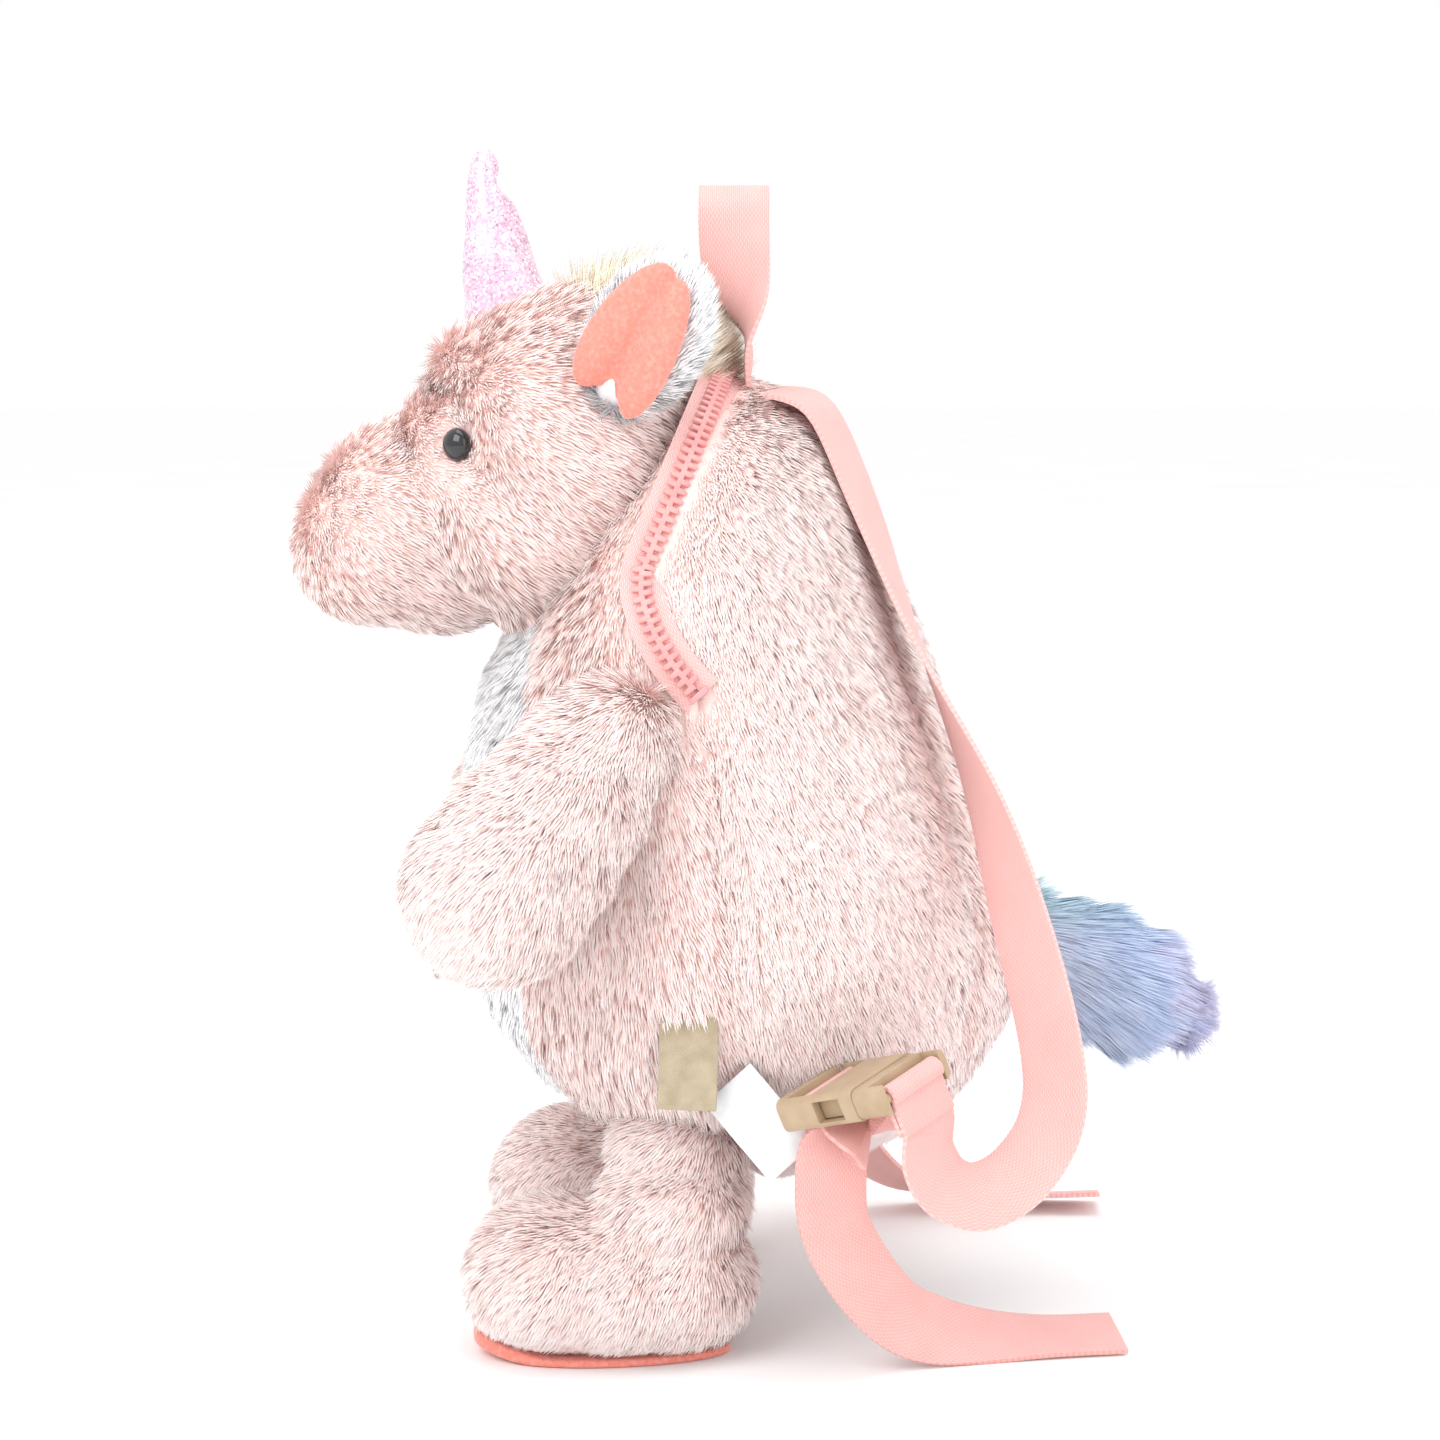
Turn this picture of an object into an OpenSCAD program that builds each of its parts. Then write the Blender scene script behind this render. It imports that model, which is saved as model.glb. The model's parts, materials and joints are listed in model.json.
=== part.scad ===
// Plush unicorn backpack: a stuffed head, arms and legs on a zipped bag, with webbing straps.
// It faces -Y and stands on its soles at Z = 0. Lengths are in millimetres, angles in degrees.

/* [Bag] */
// Width of the bag at its widest
bag_w = 156; // [130:1:190]
// Depth of the bag from chest to back at its deepest
bag_d = 156; // [130:1:190]
// Height of the bag from its base to the top of the neck
bag_h = 230; // [190:1:280]
// Height of the bag's base above the floor
bag_z = 41; // [36:1:50]
// Thickness of the plush cover with its pile
plush_t = 3; // [2:0.5:4]
// Thickness of the lining cloth
lining_t = 0.8; // [0.6:0.1:1.2]

/* [Head] */
// Length of the head from muzzle tip to nape
head_l = 121; // [100:1:140]
// Height of the skull
head_h = 92; // [80:1:105]
// Width of the skull
head_w = 108; // [92:1:120]
// Width of the muzzle
muzzle_w = 74; // [60:1:84]
// Height of the muzzle
muzzle_h = 49; // [42:1:56]
// Diameter of each eye
eye_d = 13; // [10:0.5:16]
// Length of the horn
horn_l = 50; // [38:1:62]
// Diameter of the horn at its base
horn_d = 20; // [16:1:25]
// Length of each ear from base to tip
ear_l = 42; // [36:1:50]
// Width of each ear
ear_w = 30; // [24:1:36]

/* [Limbs] */
// Length of each arm
arm_l = 88; // [74:1:104]
// Thickness of each arm
arm_d = 46; // [38:1:54]
// Length of each foot
foot_l = 76; // [64:1:88]
// Width of each foot
foot_w = 54; // [46:1:62]
// Height of each foot at the instep
foot_h = 43; // [38:1:48]
// Thickness of each leg above the foot
leg_d = 40; // [34:1:46]
// Length of the tail
tail_l = 58; // [48:1:72]
// Thickness of the tail
tail_d = 44; // [36:1:52]

/* [Webbing and buckles] */
// Width of the webbing
web_w = 20; // [15:1:25]
// Thickness of the webbing
web_t = 1.4; // [1:0.1:2]
// Height of the carrying loop above the neck
loop_h = 56; // [46:1:70]
// Length of the buckle's socket half
socket_l = 29; // [26:1:34]
// Thickness of the buckle
buckle_t = 9.5; // [8.5:0.5:12]
// Travel of the buckle's plug until it is free
buckle_travel = 26; // [24:1:30]

/* [Zip] */
// Radius of the zip's arch over the neck
zip_r = 62; // [56:1:66]
// Width of the closed chain of teeth
chain_w = 5.8; // [4.4:0.2:8]
// Distance from one tooth to the next on the same tape
tooth_pitch = 2.8; // [2.4:0.1:3.6]
// Visible width of each zip tape
tape_w = 7; // [6:0.5:10]

/* [Hidden] */
$fn = 32;
soft_fn = 20;          // facets round a stuffed shape
fit = 0.4;             // gap between sewn pieces that move against each other
run = 0.3;             // gap round a plug or slider that runs in another piece
tape_t = 0.7;          // zip tape's thickness
tooth_h = 2.2;         // a tooth's height across the tape
around = 20;           // points round the bag
far = 400;             // half-size of a cutting block that clears the whole toy

// Bag outline, as shares of its size: height, front, back, half width
bag_rows = [
    [0.000, -0.02, 0.22, 0.10], [0.020, -0.10, 0.28, 0.36], [0.055, -0.20, 0.37, 0.62],
    [0.110, -0.33, 0.46, 0.83], [0.195, -0.42, 0.52, 0.94], [0.300, -0.455, 0.545, 1.00],
    [0.410, -0.465, 0.525, 1.00], [0.520, -0.460, 0.450, 0.97], [0.630, -0.420, 0.385, 0.93],
    [0.715, -0.360, 0.335, 0.91], [0.785, -0.300, 0.295, 0.87], [0.865, -0.235, 0.260, 0.77],
    [0.920, -0.180, 0.215, 0.63], [0.957, -0.110, 0.160, 0.48], [0.985, -0.040, 0.100, 0.29],
    [1.000, 0.000, 0.050, 0.08]];
function col(i) = [for (r = bag_rows) [r[0], r[i]]];
function bag_front(z) = bag_d * lookup((z - bag_z) / bag_h, col(1));
function bag_back(z) = bag_d * lookup((z - bag_z) / bag_h, col(2));
function bag_half(z) = bag_w / 2 * lookup((z - bag_z) / bag_h, col(3));
// Half width of the bag where a level line crosses it at depth y
function bag_x(y, z) =
    let (c = (bag_front(z) + bag_back(z)) / 2, h = (bag_back(z) - bag_front(z)) / 2)
    bag_half(z) * sqrt(max(0, 1 - pow((y - c) / h, 2)));
// Depth of the bag's back at half width x
function bag_y(x, z) =
    let (c = (bag_front(z) + bag_back(z)) / 2, h = (bag_back(z) - bag_front(z)) / 2)
    c + h * sqrt(max(0, 1 - pow(x / bag_half(z), 2)));

// Seam between the front and the rest of the bag, seen from the side: depth, height
seam = [[6, bag_z - 30], [4, bag_z + 70], [-5, bag_z + 145], [-19, bag_z + 183],
        [-2, bag_z + 223], [8, bag_z + 250]];

// Neck, shoulders, hips and the tail's root, where the moving pieces turn
neck = [0, -28, bag_z + 183];
neck_r = 46;
nod_room = 5;          // extra room behind the skull for nodding
shoulder = [bag_x(-24, bag_z + 138), -24, bag_z + 138];
arm_normal = [0.87, -0.42, 0.25];
hip = [44, -12, bag_z + 17];
hip_r = leg_d / 2 - 2;
ankle_r = hip_r - 0.5;
ankle = [hip[0] + 10, hip[1], foot_h * 0.6];
leg_swing = 18;        // each leg turns this far either way
tail_root = [0, bag_y(0, bag_z + 67) - 8, bag_z + 67];
tail_r = 11;

// Vector helpers
function unit(v) = v / norm(v);
function mix(a, b, t) = a + (b - a) * t;
function mirror_x(v) = [-v[0], v[1], v[2]];

// Closed solid through rings that all hold the same number of points
module loft(rings) {
    n = len(rings[0]);
    m = len(rings);
    polyhedron([for (r = rings) each r],
        [[for (i = [0:n - 1]) i], [for (i = [n - 1:-1:0]) (m - 1) * n + i],
         for (j = [0:m - 2]) for (i = [0:n - 1]) let (k = (i + 1) % n)
             each [[j * n + i, (j + 1) * n + i, (j + 1) * n + k], [j * n + i, (j + 1) * n + k, j * n + k]]]);
}

// Smooth curve through a list of equal-length vectors, with some steps in each stretch
function smooth(p, steps) = [for (i = [0:len(p) - 2]) for (s = [0:steps - 1])
    let (a = p[max(i - 1, 0)], b = p[i], c = p[i + 1], d = p[min(i + 2, len(p) - 1)], t = s / steps)
    0.5 * (2 * b + (c - a) * t + (2 * a - 5 * b + 4 * c - d) * t * t
           + (3 * b - a - 3 * c + d) * t * t * t), p[len(p) - 1]];

// Flat strip along a route: each point is followed by the direction that its width takes
module strip(route, w, t, steps = 3) {
    pts = smooth([for (r = route) r[0]], steps);
    ws = smooth([for (r = route) unit(r[1])], steps);
    last = len(pts) - 1;
    loft([for (i = [0:last])
        let (d = unit(pts[min(i + 1, last)] - pts[max(i - 1, 0)]),
             s = unit(ws[i] - d * (ws[i] * d)), n = cross(d, s))
        [pts[i] + s * w / 2 + n * t / 2, pts[i] - s * w / 2 + n * t / 2,
         pts[i] - s * w / 2 - n * t / 2, pts[i] + s * w / 2 - n * t / 2]]);
}

module both_sides() {
    children();
    mirror([1, 0, 0]) children();
}
module side(s) {
    if (s > 0) children();
    else mirror([1, 0, 0]) children();
}
module egg(at, r) { translate(at) scale(r) sphere(1, $fn = soft_fn); }
// A sewn or stuffed piece, kept as one closed mesh
module soft(shade) { color(shade) translate([0, -mid_y, 0]) resize([0, 0, 0]) children(); }
// A moulded or woven piece, kept as exact faces where it has them
module hard(shade) { color(shade) translate([0, -mid_y, 0]) children(); }

// ---- Bag ----

// The bag's outer form, drawn in by an inset all round
module bag_form(inset) {
    low = bag_z + inset;
    high = bag_z + bag_h - inset;
    loft([for (r = bag_rows)
        let (z = bag_z + r[0] * bag_h, c = (bag_front(z) + bag_back(z)) / 2,
             hy = max((bag_back(z) - bag_front(z)) / 2 - inset, 1.5),
             hx = max(bag_half(z) - inset, 1.5))
        [for (i = [0:around - 1]) let (a = -i * 360 / around)
            [hx * sin(a), c + hy * cos(a), mix(low, high, r[0])]]]);
}

// Everything ahead of the seam
module front_zone(shift = 0) {
    rotate([90, 0, 90]) linear_extrude(2 * far, center = true)
        polygon([[-far, bag_z - 30], for (p = seam) p + [shift, 0], [-far, bag_z + 250]]);
}

// Room that the moving pieces and the zip need in the bag's walls
module sockets(gap) {
    translate(neck) sphere(neck_r + gap + 0.8, $fn = soft_fn);
    egg(skull_at, [head_w / 2 + gap, skull_ry + nod_room, head_h / 2 + nod_room]);
    both_sides() hull() {
        translate(hip) sphere(hip_r + gap, $fn = soft_fn);
        for (a = [-leg_swing, leg_swing]) translate(hip) rotate([a, 0, 0]) translate(ankle - hip)
            sphere(ankle_r + gap, $fn = soft_fn);
    }
    translate(tail_root) sphere(tail_r + 2 * gap, $fn = soft_fn);
    both_sides() shoulder_frame() translate([0, 0, -gap]) cylinder(r = arm_l, h = 60, $fn = soft_fn);
    zip_channel();
}

module bag_wall() {
    difference() {
        bag_form(0);
        bag_form(plush_t);
        sockets(fit);
    }
}

// Block that keeps what lies behind the two back seams
module back_zone() {
    linear_extrude(2 * far, center = true)
        polygon([[0, 0], [0.62 * far, far], [-0.62 * far, far]]);
}

// Oval of white plush on the chest
module belly_zone() {
    translate([0, 0, bag_z + 78]) rotate([90, 0, 0])
        linear_extrude(far) scale([bag_w * 0.31, bag_h * 0.33]) circle(1, $fn = soft_fn);
}

module front_panel() {
    soft("#EFCFC9") difference() {
        intersection() { bag_wall(); front_zone(); }
        belly_zone();
    }
}
module belly_patch() {
    soft("#F4F6F7") intersection() { bag_wall(); front_zone(); belly_zone(); }
}
module back_panel() {
    soft("#EFCFC9") difference() {
        intersection() { bag_wall(); back_zone(); }
        front_zone();
    }
}
module side_panel(s) {
    soft("#EFCFC9") intersection() {
        difference() { bag_wall(); front_zone(); back_zone(); }
        translate([s * far / 2, 0, 0]) cube([far, 2 * far, 2 * far], center = true);
    }
}
module belly_stuffing() {
    soft("white") difference() {
        intersection() { bag_form(plush_t + 0.2); front_zone(-12); }
        sockets(fit);
    }
}
lining_front = -20.5;  // the lining's upper front edge
module compartment_lining() {
    soft("#F2C4C0") difference() {
        bag_form(plush_t + 0.2);
        bag_form(plush_t + 0.2 + lining_t);
        front_zone(-8);
        translate([-far, lining_front - 2 * far, 0]) cube(2 * far);
        sockets(fit);
        translate(zip_c) rotate([zip_tilt, 0, 0]) translate([0, 0, zip_r - 24])
            cube([2 * zip_r, 30, 60], center = true);
    }
}

// ---- Zip ----

zip_tilt = -22.5;      // lean of the arch's plane from upright
zip_c = [0, -22.5, bag_z + 174];
zip_half = 86;         // half the angle that the arch spans
slot_w = chain_w + 2 * tape_w - 2;   // width of the gap that the zip closes
slider_l = 9.5;
slider_w = 9;

// Zip frame: X across, Y along the arch's axis, Z up the leaning plane
module zip_frame() { translate(zip_c) rotate([zip_tilt, 0, 0]) children(); }
// Ring sector round the arch's axis, from radius r0 to r1 and y0 to y1 along the axis
module arch(r0, r1, y0, y1, half) {
    zip_frame() rotate([90, 0, 0]) translate([0, 0, -y1])
        rotate([0, 0, 90 - half]) rotate_extrude(angle = 2 * half, $fn = 64)
            translate([r0, 0]) square([r1 - r0, y1 - y0]);
}
// Side run of the zip on the left, from the arch's end down to the arm: depth, height
side_run = [[-21.5, bag_z + 177.8], [-20.8, bag_z + 171], [-17.5, bag_z + 161.5],
            [-12, bag_z + 152.5], [-5, bag_z + 144.5]];
arch_end = zip_c + zip_r * [sin(zip_half), cos(zip_half) * sin(-zip_tilt), cos(zip_half) * cos(zip_tilt)];
run_pts = [arch_end, for (p = [for (i = [1:4]) side_run[i]]) [bag_x(p[0], p[1]) + 0.3, p[0], p[1]]];
run_out = [1, -0.2, 0.15];
run_curve = smooth(run_pts, 12);
function run_length(i) = i == 0 ? 0 : norm(run_curve[i] - run_curve[i - 1]) + run_length(i - 1);
run_total = run_length(len(run_curve) - 1);
// Point of the side run at a distance along it
function run_at(d, i = 1) = i >= len(run_curve) - 1 || run_length(i) >= d
    ? let (a = run_curve[i - 1], b = run_curve[i]) a + unit(b - a) * (d - run_length(i - 1))
    : run_at(d, i + 1);
// Side run's frame at a distance: X along the run, Y across the tapes, Z out of the bag
module run_frame(d) {
    along = unit(run_at(d + 0.5) - run_at(d - 0.5));
    across = unit(cross(run_out, along));
    out = cross(along, across);
    p = run_at(d);
    multmatrix([for (i = [0:2]) [along[i], across[i], out[i], p[i]]]) children();
}
// Band that follows the side run between two distances across it
module run_band(y0, y1, t0, t1) {
    last = 9;
    loft([for (k = [0:last])
        let (d = k == 0 ? -0.8 : run_total * k / last - 0.02,
             along = unit(run_at(d + 0.5) - run_at(d - 0.5)), across = unit(cross(run_out, along)),
             out = cross(along, across), p = run_at(d))
        [p + across * y0 + out * t1, p + across * y0 + out * t0,
         p + across * y1 + out * t0, p + across * y1 + out * t1]]);
}
module zip_channel() {
    arch(zip_r - 14, zip_r + 30, -slot_w / 2, slot_w / 2, zip_half + 1);
    run_band(-slot_w / 2, slot_w / 2, -9, 20);
}
module zip_tape(s) {
    y0 = s > 0 ? 0.3 : -slot_w / 2 + 0.1;
    y1 = s > 0 ? slot_w / 2 - 0.1 : -0.3;
    hard("#F0B5B2") {
        arch(zip_r - tape_t, zip_r, y0, y1, zip_half);
        run_band(y0, y1, -tape_t, 0);
    }
}
// One moulded tooth: a block that clips over the tape's edge and reaches past the middle
module tooth(s) {
    translate([-tooth_pitch * 0.21, s > 0 ? -0.6 : -chain_w / 2, 0.1])
        cube([tooth_pitch * 0.42, chain_w / 2 + 0.6, tooth_h / 2]);
}
module zip_teeth(s) {
    step = tooth_pitch / zip_r * 180 / PI;
    count = floor((2 * zip_half - 4) / step);
    run_count = floor((run_total - 3) / tooth_pitch);
    shift = s > 0 ? 0 : 0.5;
    hard("#EBA3A3") {
        for (i = [0:count - 1])
            zip_frame() rotate([0, -zip_half + 3 + (i + shift) * step, 0])
                translate([0, 0, zip_r]) tooth(s);
        for (i = [0:run_count - 1]) run_frame(1.6 + (i + shift) * tooth_pitch) tooth(s);
    }
}
// Stops crimped over both tapes at the two ends of the chain
module zip_stops() {
    hard("#EBA3A3") {
        run_frame(run_total - 0.8) translate([-0.6, -chain_w / 2, 0.1]) cube([1.6, chain_w, tooth_h]);
        zip_frame() rotate([0, -zip_half + 0.9, 0]) translate([-0.8, -chain_w / 2, zip_r + 0.1])
            cube([1.6, chain_w, tooth_h]);
    }
}
// Slider parked at the right end of the arch: a plate over the chain with a flange down each side
slider_at = -zip_half + 9;
slider_top = tooth_h + 0.1 + run;
module slider_frame() { zip_frame() rotate([0, slider_at, 0]) translate([0, 0, zip_r]) children(); }
module zip_slider() {
    hard("#E79C9C") slider_frame() difference() {
        union() {
            translate([-slider_l / 2, -slider_w / 2, 0.35]) cube([slider_l, slider_w, slider_top + 0.6]);
            translate([-3, -1.5, slider_top]) cube([6, 3, 5.2]);
        }
        translate([-slider_l, -chain_w / 2 - run, -1])
            cube([2 * slider_l, chain_w + 2 * run, slider_top + 1]);
        translate([0, 0, slider_top + 3.1]) rotate([90, 0, 0]) cylinder(r = 1.05, h = 12, center = true);
    }
}
puller_l = 24;
tab_rest = -8;        // the tab lies this far in from the arch's tangent
// Pull tab: a pin through the slider's bridge, two cheeks and a flat grip
module zip_puller() {
    hard("#E79C9C") slider_frame() translate([0, 0, slider_top + 3.1]) rotate([0, tab_rest - 180, 0]) {
        rotate([90, 0, 0]) cylinder(r = 1, h = 6.6, center = true);
        for (s = [-1, 1]) translate([-1, s * 2.6 - 0.8, -1.1]) cube([9, 1.6, 2.2]);
        difference() {
            translate([6.5, -3.4, -1.1]) cube([puller_l - 8, 6.8, 2.2]);
            translate([puller_l - 5.5, 0, -3]) cylinder(r = 1.6, h = 6);
        }
    }
}

// ---- Head ----

skull_ry = head_l * 0.345;
skull_at = [0, neck[1] - 16, neck[2] + 26];
muzzle_ry = muzzle_h / 2;
muzzle_at = [0, skull_at[1] + skull_ry - head_l + muzzle_ry, skull_at[2] - 27];
module head_form(inset) {
    hull() {
        egg(skull_at, [head_w / 2 - inset, skull_ry - inset, head_h / 2 - inset]);
        egg(muzzle_at, [muzzle_w / 2 - inset, muzzle_ry - inset, muzzle_h / 2 - inset]);
    }
    translate(neck) sphere(neck_r - inset, $fn = soft_fn);
}
washer_in = 7.6;       // each eye's washer lies this far behind the eye's base
module eye_frame(s) {
    side(s) translate([head_w * 0.395, skull_at[1] - skull_ry * 0.72, skull_at[2] - 1])
        rotate([0, 0, -42]) rotate([0, 90, 0]) children();
}
module head_cover() {
    soft("#EFCFC9") difference() {
        head_form(0);
        head_form(plush_t);
        for (s = [-1, 1]) eye_frame(s) cylinder(r = eye_d / 2 + 0.1, h = 40, center = true);
    }
}
module head_stuffing() {
    soft("white") difference() {
        head_form(plush_t + 0.2);
        for (s = [-1, 1]) eye_frame(s) translate([0, 0, -washer_in - 1.5])
            cylinder(r = eye_d / 2 + 3.2, h = 40);
    }
}
// Safety eye: a glossy dome on a ribbed stem
module eye(s) {
    hard("#15171B") eye_frame(s) {
        intersection() {
            translate([0, 0, -eye_d * 0.2]) sphere(eye_d / 2);
            translate([0, 0, far / 2]) cube(far, center = true);
        }
        translate([0, 0, -washer_in - 1]) cylinder(r = 1.6, h = washer_in + 1.2);
    }
}
// Ring that is pushed on the stem behind the cloth
module eye_washer(s) {
    hard("#E8E6E0") eye_frame(s) translate([0, 0, -washer_in]) difference() {
        cylinder(r = eye_d / 2 + 2.5, h = 1.6);
        translate([0, 0, -1]) cylinder(r = 1.62, h = 4);
    }
}
horn_at = [0, neck[1] - 31, skull_at[2] + head_h / 2 - 7];
module horn_form(inset) {
    translate(horn_at) rotate([8, 0, 0]) hull() {
        translate([0, 0, 1]) cylinder(r = horn_d / 2 - inset, h = 0.1, $fn = soft_fn);
        translate([0, -1, horn_l * 0.5]) sphere(horn_d * 0.34 - inset, $fn = soft_fn);
        translate([0, -2.5, horn_l - 3.2]) sphere(3.2 - inset, $fn = soft_fn - 4);
    }
}
module horn_cover() {
    soft("#E3A6CB") difference() { horn_form(0); horn_form(0.9); head_form(-0.3); }
}
module horn_stuffing() {
    soft("white") difference() { horn_form(1); head_form(-0.3); }
}
// Ear frame: X along the ear, Y across it, Z out of its open face
ear_t = 8;
ear_y = neck[1] - 2;
ear_z = skull_at[2] + head_h * 0.2;
ear_up = (ear_z - skull_at[2]) / (head_h / 2);
ear_aft = (ear_y - skull_at[1]) / skull_ry;
skull_x = head_w / 2 * sqrt(1 - pow(ear_up, 2) - pow(ear_aft, 2));
ear_base = [skull_x + ear_t / 2 + 3, ear_y, ear_z];
module ear_frame(s) {
    side(s) translate(ear_base) rotate([0, 0, 90]) rotate([0, -62, 0]) rotate([75, 0, 0]) children();
}
// Leaf outline of an ear, drawn in by an inset
module leaf(inset) {
    hull() {
        translate([6, 0]) circle(r = ear_w * 0.3 - inset);
        translate([ear_l * 0.45, 0]) circle(r = ear_w / 2 - inset);
        translate([ear_l - 5, 0]) circle(r = 5 - inset);
    }
}
module ear_back(s) {
    hard("#F4EEEE") ear_frame(s) difference() {
        linear_extrude(ear_t, center = true) leaf(0);
        translate([0, 0, 1]) linear_extrude(ear_t) leaf(3);
    }
}
module ear_lining(s) {
    hard("#F7A79A") ear_frame(s) translate([0, 0, 1.1]) linear_extrude(3.4) leaf(3.2);
}
module forelock() {
    soft("#F8F0DC") difference() {
        union() {
            egg([0, neck[1] + 2, skull_at[2] + head_h * 0.38], [16, 19, 16]);
            egg([0, neck[1] + 12, skull_at[2] + head_h * 0.22], [14, 9, 18]);
        }
        head_form(-0.2);
        zip_frame() rotate([90, 0, 0]) cylinder(r = zip_r + 4, h = 60, center = true);
    }
}

// ---- Arms, legs and tail ----

// Arm frame: Z out of the bag's side, X down the arm
arm_way = [0, -0.53, -0.85];
arm_down = unit(arm_way - arm_normal * (arm_way * arm_normal / (arm_normal * arm_normal)));
arm_out = unit(arm_normal);
arm_across = cross(arm_out, arm_down);
module shoulder_frame() {
    multmatrix([for (i = [0:2]) [arm_down[i], arm_across[i], arm_out[i], shoulder[i]]]) children();
}
// Arm drawn in by an inset, cut off flat at some height over the bag's side
module arm_form(inset, cut = 0) {
    r = arm_d / 2 - inset;
    shoulder_frame() intersection() {
        hull() {
            translate([arm_d * 0.26, 0, arm_d * 0.2]) sphere(r * 0.85, $fn = soft_fn);
            translate([arm_l * 0.52, 0, arm_d * 0.42]) sphere(r, $fn = soft_fn);
            translate([arm_l - arm_d * 0.72, 0, arm_d * 0.46]) sphere(r, $fn = soft_fn);
        }
        translate([0, 0, far / 2 + cut]) cube(far, center = true);
    }
}
module arm_cover(s) {
    soft("#EFCFC9") side(s) difference() { arm_form(0); arm_form(plush_t, -1); }
}
module arm_stuffing(s) { soft("white") side(s) arm_form(plush_t + 0.2); }

foot_toe = hip[1] + 20 - foot_l;
sole_t = 2.5;
foot_x = hip[0] + 12;
// Foot drawn in by an inset, with its flat underside at some height
module foot_form(inset, low = sole_t) {
    w = foot_w / 2 - inset;
    hull() {
        egg([foot_x, foot_toe + foot_w / 2, sole_t + foot_h * 0.46],
            [w, foot_w / 2 - inset, foot_h * 0.46 - inset]);
        egg([foot_x, hip[1] + 20 - leg_d / 2, sole_t + foot_h * 0.42],
            [w - 4, leg_d / 2 - inset, foot_h * 0.42 - inset]);
        translate([foot_x, foot_toe + foot_w * 0.62, low]) scale([w * 0.86, foot_w * 0.40 - inset, 1])
            cylinder(r = 1, h = 0.1);
        translate([foot_x, hip[1] + 19 - leg_d / 2, low]) scale([w * 0.78, leg_d / 2 - inset - 3, 1])
            cylinder(r = 1, h = 0.1);
    }
}
module leg_form(inset, low = sole_t) {
    foot_form(inset, low);
    hull() {
        translate(hip) sphere(hip_r - inset, $fn = soft_fn);
        translate(ankle) sphere(ankle_r - inset, $fn = soft_fn);
    }
}
module leg_cover(s) {
    soft("#EFCFC9") side(s) difference() { leg_form(0); leg_form(plush_t, sole_t - 1); }
}
module leg_stuffing(s) { soft("white") side(s) leg_form(plush_t + 0.2); }
// Short-pile pad under the foot
module sole(s) {
    hard("#F7A79A") side(s) hull() {
        translate([foot_x, foot_toe + foot_w * 0.62, 0]) scale([foot_w * 0.43, foot_w * 0.40, 1])
            cylinder(r = 1, h = sole_t - 0.05);
        translate([foot_x, hip[1] + 19 - leg_d / 2, 0]) scale([foot_w * 0.39, leg_d / 2 - 3, 1])
            cylinder(r = 1, h = sole_t - 0.05);
    }
}
tail_lean = 24;        // the tail points this far below level
tail_tip_y = tail_root[1] + (tail_l + 4) * cos(tail_lean) + tail_d * 0.3;
// Every piece is moved back so that the origin is under the middle of the toy
mid_y = (muzzle_at[1] - muzzle_ry + tail_tip_y) / 2;
module tail_frame() { translate(tail_root) rotate([-90 - tail_lean, 0, 0]) children(); }
module tail_core() {
    hard("#C9C3E6") {
        translate(tail_root) sphere(tail_r);
        tail_frame() cylinder(r = 6, h = tail_l * 0.75);
    }
}
module tail_plush() {
    soft("#8FA9D6") tail_frame() difference() {
        hull() {
            translate([0, 0, tail_r + 14]) sphere(tail_d * 0.36, $fn = soft_fn);
            translate([0, 0, tail_l * 0.62]) sphere(tail_d * 0.5, $fn = soft_fn);
            translate([0, 0, tail_l + 4]) sphere(tail_d * 0.3, $fn = soft_fn);
        }
        cylinder(r = 6.1, h = tail_l * 0.75 + 0.1);
    }
}

// ---- Webbing and buckles ----

// Left carrying loop's leg from its sewn root to the top, mirrored for the other leg
loop_z = bag_z + bag_h - 2;
loop_half = [[[13, 8, loop_z], [1, 0, 0]], [[14, 8, loop_z + loop_h * 0.22], [1, 0, 0]],
             [[16, 5, loop_z + loop_h * 0.5], [0.5, 1, 0]], [[16, 4, loop_z + loop_h * 0.75], [0.1, 1, 0]],
             [[12, 4, loop_z + loop_h * 0.93], [0, 1, 0]], [[0, 4, loop_z + loop_h], [0, 1, 0]]];
module haul_loop() {
    route = [each loop_half, for (i = [4:-1:0]) [mirror_x(loop_half[i][0]), mirror_x(loop_half[i][1])]];
    hard("#F0B5B2") strip(route, web_w, web_t, 2);
}

// Buckle frame on the left: X along the buckle towards its plug, Y across, Z out of its flat face
buckle_c = [bag_w / 2 + 17, 40, bag_z + 42];
buckle_rise = 22;
buckle_turn = 45;
module buckle_frame() {
    translate(buckle_c) rotate([buckle_rise, 0, 0]) rotate([0, 0, 90 - buckle_turn]) children();
}
function rot_x(v, a) = [v[0], v[1] * cos(a) - v[2] * sin(a), v[1] * sin(a) + v[2] * cos(a)];
function rot_z(v, a) = [v[0] * cos(a) - v[1] * sin(a), v[0] * sin(a) + v[1] * cos(a), v[2]];
function from_buckle(v) = rot_x(rot_z(v, 90 - buckle_turn), buckle_rise);
function at_buckle(v) = buckle_c + from_buckle(v);

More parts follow.
